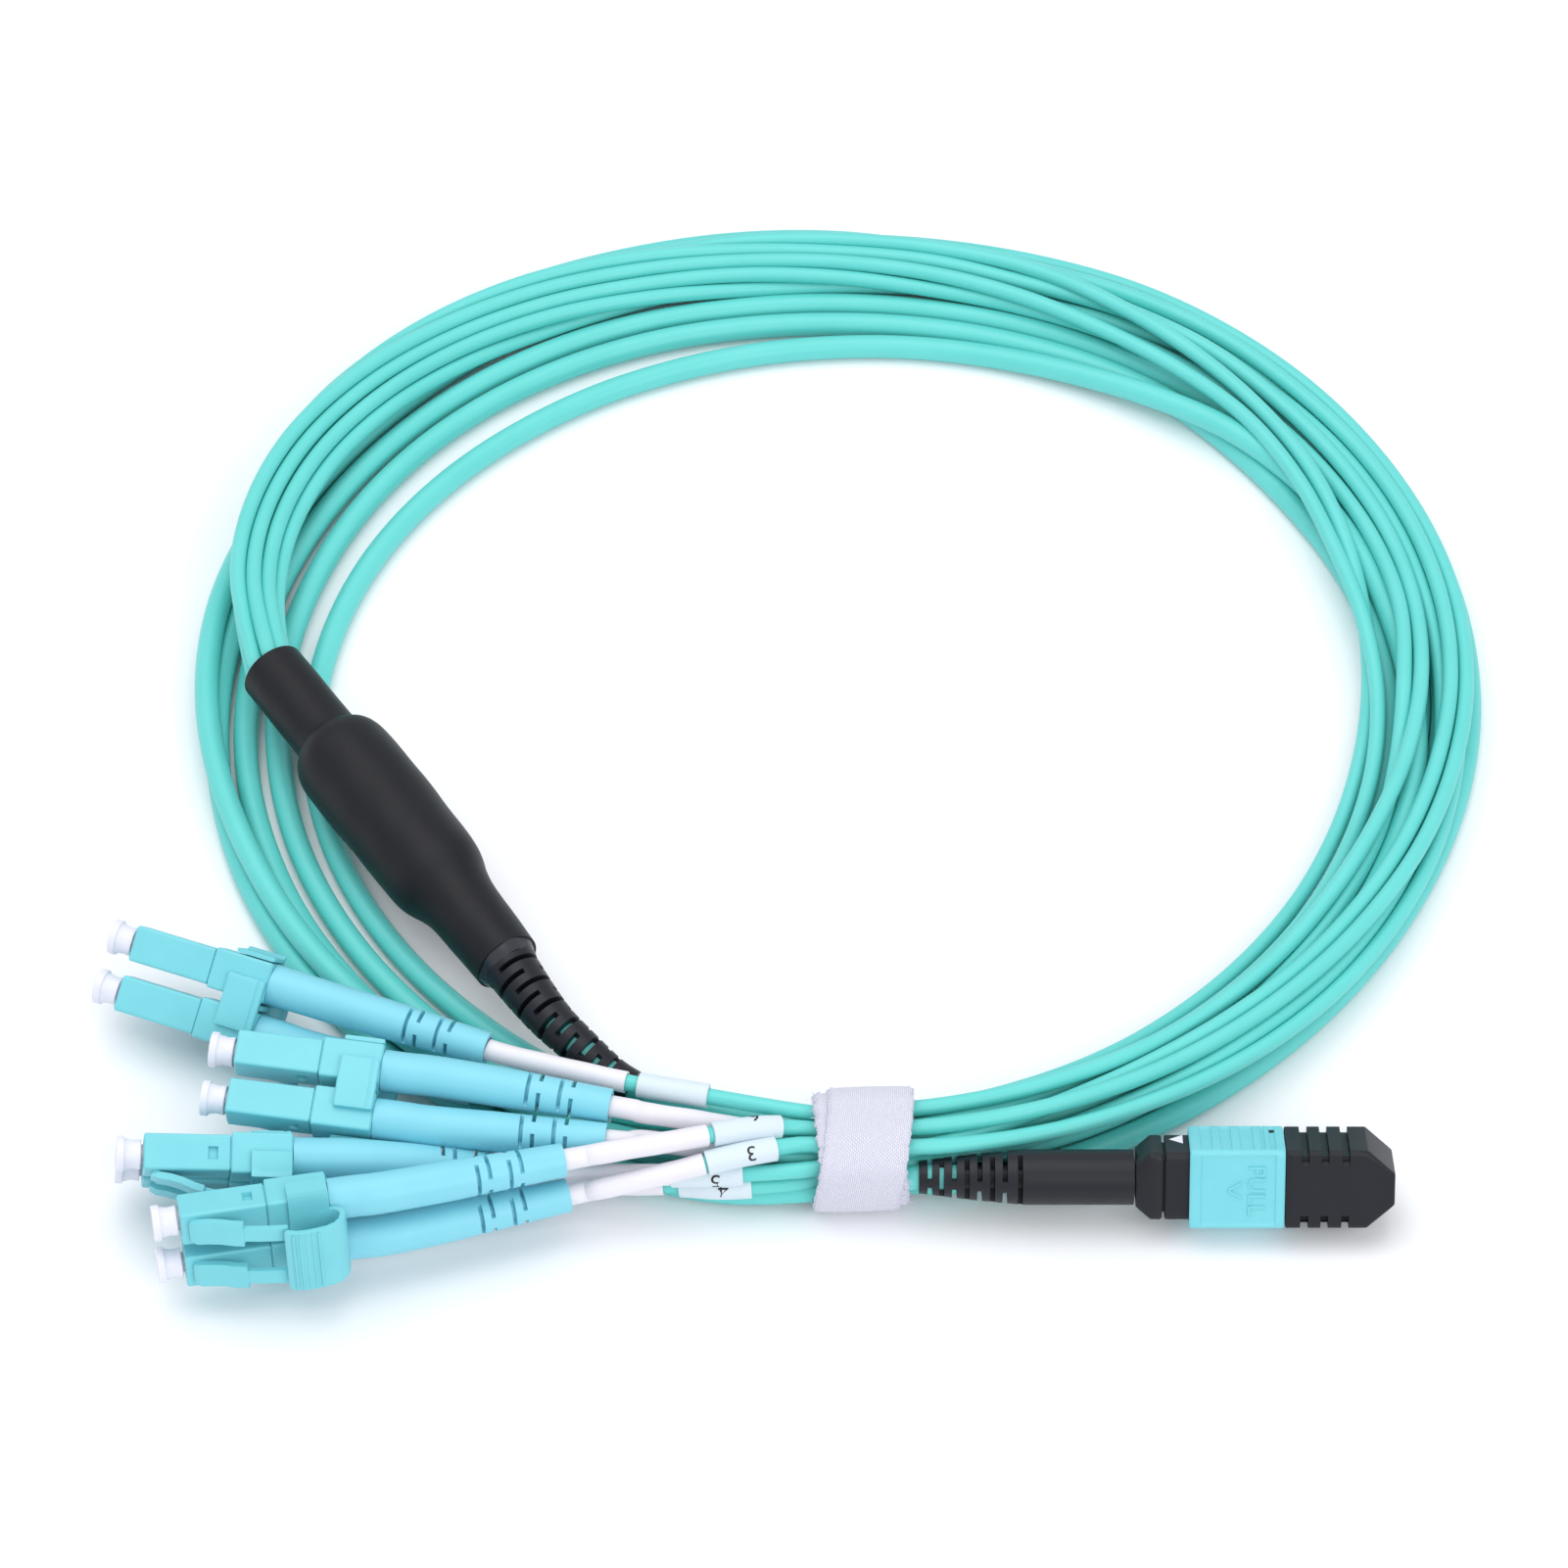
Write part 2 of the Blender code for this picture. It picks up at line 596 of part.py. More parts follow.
def build_pairs():
    """Four plug pairs with caps, boots, tubing and the legs on to the strap."""
    plug, cap, clip = plug_mesh(), cap_mesh(), clip_mesh()
    boot_start = PLUG_FRONT_LENGTH + PLUG_REAR_LENGTH + CLEARANCE
    for pair in PAIRS:
        place = pair_place(pair)
        add_part(f"lc_clip_{pair}", clip, "aqua_moulding", place)
        for number, side in ((1, -1), (2, 1)):
            leg = f"{pair}{number}"
            at = place @ Matrix.Translation((0, side * PLUG_PITCH / 2, 0))
            add_part(f"lc_plug_{leg}", plug, "aqua_moulding", at)
            add_part(f"lc_cap_{leg}", cap, "white_cap", at)
            tip = Vector(BOOT_TIPS[leg])
            bend = [at @ Vector((boot_start + share * BOOT_LENGTH, 0, 0)) for share in (0, 0.1, 0.3)]
            boot = smooth_points([*bend, tip], BOOT_LENGTH / 6)
            tapered_tube(f"lc_boot_{leg}", boot, BOOT_RADIUS, BOOT_TIP_RADIUS, "aqua_moulding")
            start = boot[-1]
            ahead = start + 0.003 * (boot[-1] - boot[-2]).normalized()
            y, z = LEG_ENDS[leg]
            end = (LEG_END_X, y, z)
            route = smooth_points([start, ahead, *LEG_ROUTES[leg], end], 2 * LEG_DIAMETER)
            sleeve = along_route(route, CLEARANCE, TUBING_LENGTH)
            tube(f"tubing_{leg}", sleeve, TUBING_RADIUS, "white_tubing")
            tail = along_route(route, TUBING_LENGTH + 2 * CLEARANCE)
            tube(f"leg_{leg}", tail, LEG_DIAMETER / 2, "aqua_cable")


def build_push_plug():
    """The push-on plug: boot, rear shell, housing with its nose, pull sleeve and dust cap."""
    place = Matrix.Translation((0, PUSH_PLUG_Y, PUSH_PLUG_Z))
    place = place @ Matrix.Rotation(math.radians(PUSH_PLUG_ROLL), 4, "X")
    boot_end = PUSH_BOOT_START + PUSH_BOOT_LENGTH
    boot = (
        (PUSH_BOOT_START, PUSH_BOOT_TIP_RADIUS),
        (PUSH_BOOT_START + PUSH_BOOT_TAPER, PUSH_BOOT_RADIUS),
        (boot_end, PUSH_BOOT_RADIUS),
    )
    add_part("push_plug_boot", turned_mesh("push_boot", boot), "black_moulding", place)
    shell_start = boot_end + CLEARANCE
    shell_end = shell_start + REAR_SHELL_LENGTH
    half_w, half_h = HOUSING_WIDTH / 2, HOUSING_HEIGHT / 2
    shell = block_mesh(
        "rear_shell", (shell_start, -half_w, -half_h), (shell_end, half_w, half_h), EDGE_BEVEL
    )
    add_part("push_plug_rear_shell", shell, "black_moulding", place)
    house_start = shell_end + CLEARANCE
    house_end = house_start + HOUSING_LENGTH
    housing = block_mesh(
        "housing", (house_start, -half_w, -half_h), (house_end, half_w, half_h), EDGE_BEVEL
    )
    nose_w, nose_h = NOSE_WIDTH / 2, NOSE_HEIGHT / 2
    nose = block_mesh(
        "nose",
        (house_end - 0.002, -nose_w, -nose_h),
        (house_end + NOSE_LENGTH, nose_w, nose_h),
        EDGE_BEVEL,
    )
    add_part("push_plug_housing", combined("push_housing", housing, [nose]), "black_moulding", place)
    wide_w, wide_h = half_w + PULL_SLEEVE_WALL, half_h + PULL_SLEEVE_WALL
    sleeve_start = house_start + PULL_SLEEVE_TRAVEL + CLEARANCE
    sleeve_end = sleeve_start + PULL_SLEEVE_LENGTH
    outer = block_mesh(
        "sleeve_outer", (sleeve_start, -wide_w, -wide_h), (sleeve_end, wide_w, wide_h), EDGE_BEVEL
    )
    hole = block_mesh(
        "sleeve_hole",
        (sleeve_start - 0.001, -half_w - CLEARANCE, -half_h - CLEARANCE),
        (sleeve_end + 0.001, half_w + CLEARANCE, half_h + CLEARANCE),
    )
    sleeve = combined("pull_sleeve", outer, [hole], "DIFFERENCE")
    add_part("push_plug_sleeve", sleeve, "aqua_moulding", place)
    cap_start = sleeve_end + CLEARANCE
    cap_end = cap_start + PUSH_CAP_LENGTH
    roof = cap_end - PUSH_CAP_ROOF
    tip = PUSH_CAP_TIP_WIDTH / 2
    plan = [
        (cap_start, -wide_w),
        (roof, -wide_w),
        (cap_end, -tip),
        (cap_end, tip),
        (roof, wide_w),
        (cap_start, wide_w),
    ]
    cap = outline_mesh("cap_plan", plan, 2 * wide_h, "xz")
    cap.transform(Matrix.Rotation(math.radians(-90), 4, "X"))
    bay = block_mesh(
        "cap_bay",
        (cap_start - 0.001, -nose_w - CLEARANCE, -nose_h - CLEARANCE),
        (cap_start + PUSH_CAP_DEPTH, nose_w + CLEARANCE, nose_h + CLEARANCE),
    )
    add_part("push_plug_cap", combined("push_cap", cap, [bay], "DIFFERENCE"), "black_moulding", place)


def build_cords(fanout_place, boot_route):
    """The trunk's end beside the fan-out's boot, and the legs' bundle out of the sleeve."""
    boot_end = boot_route[-1]
    onward = (boot_end - boot_route[-2]).normalized()
    start = boot_end + onward * CLEARANCE
    tail = smooth_points([start, start + onward * 0.004, TRUNK_TAIL_END], 2 * TRUNK_DIAMETER)
    tube("trunk_to_fanout", tail, TRUNK_DIAMETER / 2, "aqua_cable")
    out = [fanout_place @ Vector((-CLEARANCE, 0, 0)), fanout_place @ Vector((-0.010, 0, 0))]
    points = smooth_points([*out, *LEG_BUNDLE_ROUTE], 2 * LEG_BUNDLE_RADIUS)
    tube("leg_bundle", points, LEG_BUNDLE_RADIUS, "aqua_cable")


def own_box():
    """Lowest and highest corners of the pieces that aren't cable."""
    bpy.context.view_layer.update()
    graph = bpy.context.evaluated_depsgraph_get()
    cable = ("coil", "trunk_", "leg_")
    corners = []
    for part in PARTS.objects:
        if part.type != "EMPTY" and not part.name.startswith(cable):
            shape = part.evaluated_get(graph)
            mesh = shape.to_mesh()
            corners += [shape.matrix_world @ v.co for v in mesh.vertices]
            shape.to_mesh_clear()
    return np.min(corners, axis=0), np.max(corners, axis=0)


def place_origin():
    """The row's origin lies on the table under the middle of the pieces that aren't cable."""
    low, high = own_box()
    DESIGN_ORIGIN.location = (-(low[0] + high[0]) / 2, -(low[1] + high[1]) / 2, -low[2])
    bpy.context.view_layer.update()


build_coil()
build_strap()
build_pairs()
build_push_plug()
build_cords(*build_fanout())
place_origin()
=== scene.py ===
"""Looks of a fibre breakout cable, coiled and tied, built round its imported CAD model.

Places are in millimetres from the coil's centre on the table, and turn to metres in the row frame
where a mesh or a curve is made.
"""

import math

import bpy
import numpy as np
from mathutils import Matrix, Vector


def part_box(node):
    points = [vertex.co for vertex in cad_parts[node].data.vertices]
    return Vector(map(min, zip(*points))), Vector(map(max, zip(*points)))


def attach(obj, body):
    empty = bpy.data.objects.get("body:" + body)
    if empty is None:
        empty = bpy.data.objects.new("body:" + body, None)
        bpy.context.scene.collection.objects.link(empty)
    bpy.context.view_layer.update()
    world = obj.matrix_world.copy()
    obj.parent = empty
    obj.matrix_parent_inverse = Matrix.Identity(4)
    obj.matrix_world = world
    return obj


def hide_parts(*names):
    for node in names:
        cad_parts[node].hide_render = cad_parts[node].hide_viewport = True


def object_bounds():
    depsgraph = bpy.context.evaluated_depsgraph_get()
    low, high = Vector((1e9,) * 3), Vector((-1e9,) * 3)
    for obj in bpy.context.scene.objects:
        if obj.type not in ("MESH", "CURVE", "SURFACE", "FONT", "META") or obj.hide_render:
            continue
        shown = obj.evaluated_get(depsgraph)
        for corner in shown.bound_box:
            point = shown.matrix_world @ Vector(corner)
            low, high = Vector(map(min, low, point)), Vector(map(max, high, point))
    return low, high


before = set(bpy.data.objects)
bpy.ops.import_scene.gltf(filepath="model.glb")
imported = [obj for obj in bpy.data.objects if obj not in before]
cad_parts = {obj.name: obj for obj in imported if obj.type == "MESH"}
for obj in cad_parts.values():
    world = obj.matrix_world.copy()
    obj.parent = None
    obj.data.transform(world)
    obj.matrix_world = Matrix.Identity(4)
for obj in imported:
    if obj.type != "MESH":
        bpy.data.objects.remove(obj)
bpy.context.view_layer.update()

# The camera: a long lens about 1.1 m off, looking down 50 degrees on the whole object.
# The coil's centre in the row frame comes from the pull sleeve, 41.4 mm right of it and 78 in front.
sleeve_low, sleeve_high = (np.array(corner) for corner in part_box("push_plug_sleeve"))
sleeve_middle = (sleeve_low + sleeve_high) / 2
COIL_CENTRE = np.array([sleeve_low[0] - 0.0414, sleeve_middle[1] + 0.0780, sleeve_middle[2] - 0.00633])


def row_frame(points):
    """Places in metres in the row frame: millimetres from the coil's centre, times 0.001, moved."""
    return np.asarray(points, float) * 0.001 + COIL_CENTRE


camera = bpy.data.objects.new("camera", bpy.data.cameras.new("camera"))
bpy.context.scene.collection.objects.link(camera)
camera.data.lens = 203.57
camera.data.sensor_width = 36
camera.data.clip_start, camera.data.clip_end = 0.01, 20
camera.location = row_frame((-6.6, -718.8, 842.6))
camera.rotation_euler = (math.radians(40.0), 0, 0)
bpy.context.scene.camera = camera
bpy.context.scene.view_settings.view_transform = "Standard"


# The floor: a pale paper sweep, matt, under the coil. It isn't part of the object.
# Broad soft lamps and a white room light it, so shadows stay faint.
def linear(hex_colour):
    """An sRGB hex colour as linear RGBA: c / 12.92 below 0.04045, else ((c + 0.055) / 1.055) ** 2.4."""
    srgb = np.array([int(hex_colour[i:i + 2], 16) for i in (1, 3, 5)]) / 255
    return (*np.where(srgb <= 0.04045, srgb / 12.92, ((srgb + 0.055) / 1.055) ** 2.4), 1.0)


def add_node(tree, kind, settings=(), links=()):
    """A node; settings are (socket or property, value) pairs, links (socket, source output) pairs."""
    node = tree.nodes.new(kind)
    for name, value in settings:
        if isinstance(name, int) or name in node.inputs:
            node.inputs[name].default_value = value
        else:
            setattr(node, name, value)
    for name, output in links:
        tree.links.new(output, node.inputs[name])
    return node


def finish(name, colour, roughness, ior=1.5):
    """A material with its shader's plain values, and its node tree and shader."""
    material = bpy.data.materials.new(name)
    material.use_nodes = True
    shader = material.node_tree.nodes["Principled BSDF"]
    shader.inputs["Base Color"].default_value = linear(colour)
    shader.inputs["Roughness"].default_value = roughness
    shader.inputs["IOR"].default_value = ior
    return material, material.node_tree, shader


def mottle(tree, shader, dark, light, size):
    """Colour drifts between two hex values in soft patches of this size in millimetres."""
    place = add_node(tree, "ShaderNodeTexCoord")
    patches = add_node(
        tree, "ShaderNodeTexNoise", [("Scale", 1000 / size), ("Detail", 3.0)],
        [("Vector", place.outputs["Object"])],
    )
    mix = add_node(
        tree, "ShaderNodeMix", [("data_type", "RGBA"), (6, linear(dark)), (7, linear(light))],
        [(0, patches.outputs["Fac"])],
    )
    tree.links.new(mix.outputs[2], shader.inputs["Base Color"])


def grain(tree, shader, size, depth):
    """Fine bumps of this size and depth in millimetres, from a noise on the object's coordinates."""
    place = add_node(tree, "ShaderNodeTexCoord")
    noise = add_node(
        tree, "ShaderNodeTexNoise", [("Scale", 1000 / size), ("Detail", 2.0)],
        [("Vector", place.outputs["Object"])],
    )
    bump = add_node(
        tree, "ShaderNodeBump", [("Strength", 1.0), ("Distance", depth * 0.001)],
        [("Height", noise.outputs["Fac"])],
    )
    tree.links.new(bump.outputs["Normal"], shader.inputs["Normal"])


paper, tree, shader = finish("floor_matt_paper", "#F7F8FA", 0.9)
floor_mesh = bpy.data.meshes.new("floor")
floor_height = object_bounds()[0][2]
floor_corners = ((-3, -3), (3, -3), (3, 3), (-3, 3))
floor_mesh.from_pydata([(x, y, floor_height) for x, y in floor_corners], [], [(0, 1, 2, 3)])
floor_mesh.materials.append(paper)
floor = bpy.data.objects.new("floor", floor_mesh)
bpy.context.scene.collection.objects.link(floor)

world = bpy.data.worlds.new("white_room")
world.use_nodes = True
world.node_tree.nodes["Background"].inputs["Color"].default_value = linear("#FAFBFF")
world.node_tree.nodes["Background"].inputs["Strength"].default_value = 0.76
bpy.context.scene.world = world


def soft_lamp(name, place, size, power):
    """A square soft box this wide in metres, at a place in metres, that faces the coil's centre."""
    lamp = bpy.data.objects.new(name, bpy.data.lights.new(name, "AREA"))
    lamp.data.size = size
    lamp.data.energy = power
    bpy.context.scene.collection.objects.link(lamp)
    lamp.location = row_frame((0, 0, 0)) + np.array(place)
    down = -np.array(place) / np.linalg.norm(place)
    lamp.rotation_euler = (math.acos(-down[2]), 0, math.atan2(down[1], down[0]) - math.pi / 2)


soft_lamp("key_lamp", (-0.25, 0.2, 1.3), 1.3, 9.0)
soft_lamp("front_lamp", (0.5, -0.9, 0.8), 0.8, 5.0)

# The trunk: 3 mm round jacket of low-smoke polyolefin, extruded, aqua, wound five times round.
# It starts in the push-on plug's boot, passes the strap six times and ends in the fan-out's boot.
TRUNK_LANES = (
    (77.8, 4.0), (78.2, 2.2), (77.9, 1.6), (77.8, 1.5), (77.9, 1.5), (77.9, 1.5),
    (77.9, 1.5), (77.8, 1.5), (77.5, 1.5), (77.1, 1.5), (76.7, 1.5), (76.1, 1.5),
    (75.6, 1.5), (75.2, 1.5), (75.0, 1.5), (74.7, 1.5), (74.6, 1.5), (74.5, 1.5),
    (74.4, 1.5), (74.5, 1.5), (74.4, 1.5), (74.3, 1.5), (74.3, 1.5), (74.7, 1.5),
    (75.2, 1.5), (75.6, 1.5), (75.8, 1.5), (75.6, 1.5), (74.9, 1.5), (74.2, 1.5),
    (73.6, 1.5), (72.9, 1.5), (72.4, 1.5), (72.3, 1.5), (72.5, 1.8), (72.7, 2.6),
    (72.7, 3.1), (72.1, 2.2), (71.5, 1.6), (71.1, 1.5), (70.9, 1.5), (70.7, 1.5),
    (70.5, 1.5), (70.3, 1.5), (70.0, 1.5), (69.7, 1.5), (69.3, 1.5), (68.9, 1.5),
    (68.5, 1.5), (68.0, 1.5), (67.3, 1.5), (66.5, 1.5), (65.7, 1.5), (65.0, 1.5),
    (64.7, 1.5), (64.9, 1.5), (65.4, 1.5), (66.2, 1.5), (66.8, 1.5), (66.7, 1.5),
    (67.0, 1.5), (67.8, 1.5), (68.6, 1.5), (68.9, 1.5), (68.7, 1.5), (68.2, 1.5),
    (67.9, 1.5), (67.9, 1.5), (68.1, 1.5), (68.6, 1.6), (69.1, 1.8), (69.6, 2.6),
    (69.9, 3.1), (69.1, 2.2), (68.3, 1.6), (67.6, 1.5), (67.1, 1.5), (66.8, 1.5),
    (66.5, 1.5), (66.2, 1.5), (65.7, 1.5), (65.1, 1.5), (64.3, 1.5), (63.5, 1.5),
    (62.6, 1.5), (61.7, 1.5), (60.9, 1.5), (60.4, 1.5), (60.1, 1.5), (60.2, 1.5),
    (60.6, 1.5), (61.4, 1.5), (62.3, 1.7), (63.3, 2.5), (64.7, 3.7), (66.8, 4.4),
    (68.9, 3.8), (70.2, 3.4), (70.7, 3.7), (71.5, 4.2), (72.5, 4.4), (72.9, 4.4),
    (73.1, 4.4), (73.3, 4.4), (73.8, 4.1), (74.2, 3.9), (74.6, 4.0), (74.8, 4.6),
    (74.3, 5.4), (74.7, 5.1), (75.3, 4.5), (75.6, 4.3), (75.8, 4.2), (76.0, 4.1),
    (76.4, 4.1), (76.9, 4.4), (77.7, 4.5), (78.5, 4.2), (79.0, 3.4), (79.0, 2.4),
    (78.6, 1.6), (78.3, 1.5), (78.0, 1.5), (77.8, 1.5), (77.6, 1.5), (77.5, 1.5),
    (77.5, 1.5), (77.5, 1.5), (77.4, 1.5), (77.6, 1.5), (78.3, 1.5), (79.2, 1.5),
    (79.5, 1.5), (79.6, 1.5), (79.4, 1.5), (78.9, 1.5), (78.2, 1.5), (77.4, 1.5),
    (76.8, 1.5), (76.4, 1.5), (76.3, 1.6), (76.5, 1.8), (77.0, 2.1), (77.1, 2.8),
    (75.6, 3.1), (75.2, 2.1), (74.8, 1.6), (74.5, 1.5), (74.4, 1.5), (74.4, 1.5),
    (74.4, 1.5), (74.2, 1.5), (74.0, 1.5), (73.6, 1.5), (73.2, 1.5), (72.7, 1.5),
    (72.2, 1.5), (71.6, 1.5), (70.9, 1.5), (70.1, 1.5), (69.3, 1.5), (68.4, 1.5),
    (68.1, 1.5), (68.2, 1.5), (68.6, 1.5), (69.2, 1.5), (70.0, 1.5), (70.9, 1.5),
    (71.8, 1.5), (72.5, 1.5), (72.7, 1.5), (72.6, 1.5), (71.8, 1.5), (71.2, 1.9),
    (70.7, 2.6), (70.4, 3.2), (70.2, 3.6), (70.5, 3.9), (70.8, 4.3), (71.2, 5.2),
    (71.3, 5.5),
)
TRUNK_START = ((14.5, -78.0, 6.33), (9.4, -78.0, 6.33), (5.0, -78.1, 5.6))
TRUNK_END = (
    (-9.7, -69.3, 5.5), (-16.0, -67.5, 5.4), (-20.7, -65.8, 5.4), (-24.8, -64.0, 5.8), (-27.2, -62.6, 6.4),
    (-29.3, -61.0, 7.2), (-31.3, -59.3, 7.9), (-34.3, -56.3, 8.6),
)
LANE_STEP = 10
TRUNK_DIAMETER = 3.0
LEG_DIAMETER = 2.0


def lane_points(lanes, first_angle):
    """Points on a lane: radius and height every ten degrees, clockwise from the first angle."""
    radius, height = np.array(lanes).T
    turn = np.radians(first_angle - LANE_STEP * np.arange(len(radius)))
    return np.stack([radius * np.cos(turn), radius * np.sin(turn), height], axis=1)


def smooth_line(points, spacing):
    """Points about this far apart on the smooth curve through the given ones.

    Between two points it is the Catmull-Rom cubic: 0.5 (2b + (c - a) t + (2a - 5b + 4c - d) t^2
    + (3b - a - 3c + d) t^3), with a and d the points before and after.
    """
    given = np.asarray(points, float)
    padded = np.concatenate([2 * given[:1] - given[1:2], given, 2 * given[-1:] - given[-2:-1]])
    gaps = np.linalg.norm(np.diff(given, axis=0), axis=1)
    counts = np.maximum(2, np.round(gaps / spacing).astype(int))
    span = np.repeat(np.arange(len(gaps)), counts)
    first = np.repeat(np.concatenate([[0], np.cumsum(counts)[:-1]]), counts)
    t = ((np.arange(len(span)) - first) / counts[span])[:, None]
    a, b, c, d = padded[span], padded[span + 1], padded[span + 2], padded[span + 3]
    line = 0.5 * (2 * b + (c - a) * t + (2 * a - 5 * b + 4 * c - d) * t**2 + (3 * b - a - 3 * c + d) * t**3)
    return np.concatenate([line, given[-1:]])


def cable(name, line, diameter, material):
    """A round cable as a curve of one open spline with this line as its centre."""
    curve = bpy.data.curves.new(name, "CURVE")
    curve.dimensions = "3D"
    curve.bevel_depth = diameter * 0.0005
    curve.bevel_resolution = 5
    curve.use_fill_caps = True
    spline = curve.splines.new("POLY")
    spline.points.add(len(line) - 1)
    spline.points.foreach_set("co", np.column_stack([row_frame(line), np.ones(len(line))]).ravel())
    spline.use_smooth = True
    curve.materials.append(material)
    found = bpy.data.objects.new(name, curve)
    bpy.context.scene.collection.objects.link(found)
    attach(found, "cable")
    return found


def run_along(line):
    """Distance of each point from a line's start: the running sum of the steps between points."""
    return np.concatenate([[0], np.cumsum(np.linalg.norm(np.diff(line, axis=0), axis=1))])


# Extruded polyolefin jacket: satin, smooth along the cable, with a faint drift in its dye.
jacket, tree, shader = finish("cable_jacket_polyolefin", "#62CFC9", 0.42)
mottle(tree, shader, "#5CCBC5", "#69D4CF", 9.0)
grain(tree, shader, 0.5, 0.012)

trunk_line = smooth_line([*TRUNK_START, *lane_points(TRUNK_LANES, 270), *TRUNK_END], 1.6)
trunk_line[:, 2] = np.maximum(trunk_line[:, 2], TRUNK_DIAMETER / 2)
trunk = cable("trunk", trunk_line, TRUNK_DIAMETER, jacket)
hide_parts("coil", "trunk_to_fanout")

# The eight legs: 2 mm jackets of the same compound, each with one fibre and aramid yarn inside.
# They leave the fan-out as a bundle, go once round over the trunk, and fan out past the strap.
LEG_LANES = {
    "a1": (
        (75.8, 8.7), (78.1, 7.5), (79.8, 6.5), (80.6, 6.0), (80.2, 5.8), (78.9, 5.8),
        (77.1, 5.6), (75.4, 5.1), (74.2, 4.9), (73.3, 5.3), (72.8, 5.2), (73.8, 5.1),
        (74.0, 5.8), (74.0, 5.3), (74.1, 5.1), (74.1, 5.2), (73.6, 5.6), (72.6, 6.5),
        (71.4, 7.0), (70.1, 7.0), (69.4, 6.8), (69.3, 6.6), (69.5, 6.9), (69.8, 7.7),
        (70.2, 8.7), (70.5, 9.2), (70.8, 9.4),
    ),
    "a2": (
        (73.6, 8.1), (76.2, 6.8), (78.0, 5.6), (79.0, 4.7), (79.2, 4.0), (78.8, 3.8),
        (78.2, 4.0), (77.3, 4.7), (76.1, 5.3), (75.2, 5.8), (74.3, 6.5), (72.8, 6.8),
        (71.8, 6.4), (70.8, 6.2), (69.7, 6.2), (68.5, 5.2), (67.3, 3.6), (66.3, 2.8),
        (65.5, 2.6), (65.1, 2.6), (65.1, 2.9), (65.4, 3.5), (66.0, 4.2), (66.9, 5.0),
        (67.9, 6.0), (69.1, 7.0), (70.2, 7.5),
    ),
    "b1": (
        (76.0, 10.7), (78.3, 9.5), (79.4, 8.5), (79.2, 7.5), (78.3, 6.4), (76.9, 5.7),
        (75.1, 5.3), (73.4, 5.2), (72.1, 5.3), (71.0, 5.5), (70.0, 5.6), (69.2, 5.5),
        (68.7, 5.8), (68.3, 6.4), (67.5, 6.2), (66.6, 5.8), (66.7, 5.5), (67.2, 4.7),
        (67.4, 4.3), (67.5, 4.2), (67.7, 4.3), (67.9, 4.6), (68.3, 5.2), (68.9, 5.9),
        (70.2, 6.7), (71.7, 7.6), (72.9, 7.4),
    ),
    "b2": (
        (74.0, 10.6), (76.4, 8.8), (77.6, 7.5), (77.5, 6.5), (76.5, 5.6), (74.9, 5.1),
        (73.1, 4.7), (71.5, 4.7), (70.3, 4.4), (69.7, 3.9), (70.0, 3.6), (70.6, 3.6),
        (71.2, 3.7), (71.8, 4.0), (72.0, 4.4), (72.0, 5.1), (71.6, 6.0), (70.5, 6.4),
        (70.2, 5.4), (70.5, 5.0), (70.7, 5.3), (71.1, 5.6), (71.8, 5.6), (72.4, 5.6),
        (72.8, 5.7), (73.4, 6.7), (75.2, 7.5),
    ),
    "c1": (
        (72.2, 9.8), (74.4, 8.1), (75.5, 6.9), (75.4, 6.0), (74.5, 5.2), (72.9, 4.7),
        (71.2, 4.0), (70.3, 3.1), (70.5, 2.4), (71.1, 2.5), (71.9, 2.9), (72.7, 3.4),
        (74.2, 3.9), (75.4, 3.9), (75.8, 4.0), (75.8, 4.1), (75.5, 4.2), (75.3, 4.2),
        (75.5, 4.3), (75.6, 4.7), (75.6, 5.2), (75.5, 5.7), (75.2, 6.2), (75.0, 6.2),
        (75.5, 6.3), (76.4, 6.5), (77.0, 6.0),
    ),
    "c2": (
        (75.7, 6.7), (79.0, 5.7), (81.0, 4.9), (81.8, 4.3), (81.3, 3.9), (80.8, 3.5),
        (80.0, 3.2), (78.9, 3.5), (77.6, 4.0), (76.7, 3.9), (76.7, 3.9), (77.3, 4.2),
        (77.6, 4.5), (77.5, 4.7), (77.6, 4.9), (77.5, 5.2), (77.1, 5.5), (76.3, 6.0),
        (75.2, 6.3), (74.2, 6.6), (73.3, 6.9), (72.6, 7.1), (72.1, 7.5), (72.0, 7.5),
        (72.9, 7.7), (75.0, 8.0), (77.2, 7.9),
    ),
    "d1": (
        (71.1, 8.0), (72.9, 6.8), (73.8, 5.8), (73.8, 4.8), (73.2, 3.7), (72.5, 2.7),
        (72.2, 2.3), (72.2, 2.6), (72.4, 3.0), (72.9, 3.4), (74.3, 4.0), (75.3, 3.7),
        (76.2, 3.1), (77.0, 2.7), (77.4, 2.8), (77.6, 3.0), (77.6, 3.3), (77.4, 3.5),
        (77.5, 3.9), (77.6, 4.2), (77.5, 4.6), (77.4, 5.2), (77.2, 6.0), (76.9, 7.0),
        (76.7, 8.0), (76.7, 9.3), (76.1, 9.7),
    ),
    "d2": (
        (73.5, 6.1), (77.0, 5.0), (79.2, 4.0), (80.3, 3.0), (80.6, 2.0), (80.5, 1.3),
        (80.2, 1.0), (80.0, 1.0), (79.9, 1.0), (80.0, 1.1), (79.9, 1.8), (79.7, 2.9),
        (79.4, 3.7), (79.4, 4.0), (79.4, 4.0), (79.3, 4.2), (79.0, 4.7), (78.3, 5.4),
        (77.3, 6.0), (76.4, 6.6), (75.4, 7.2), (74.6, 7.5), (74.1, 7.8), (73.9, 8.3),
        (74.0, 9.3), (73.8, 9.6), (73.5, 9.5),
    ),
}
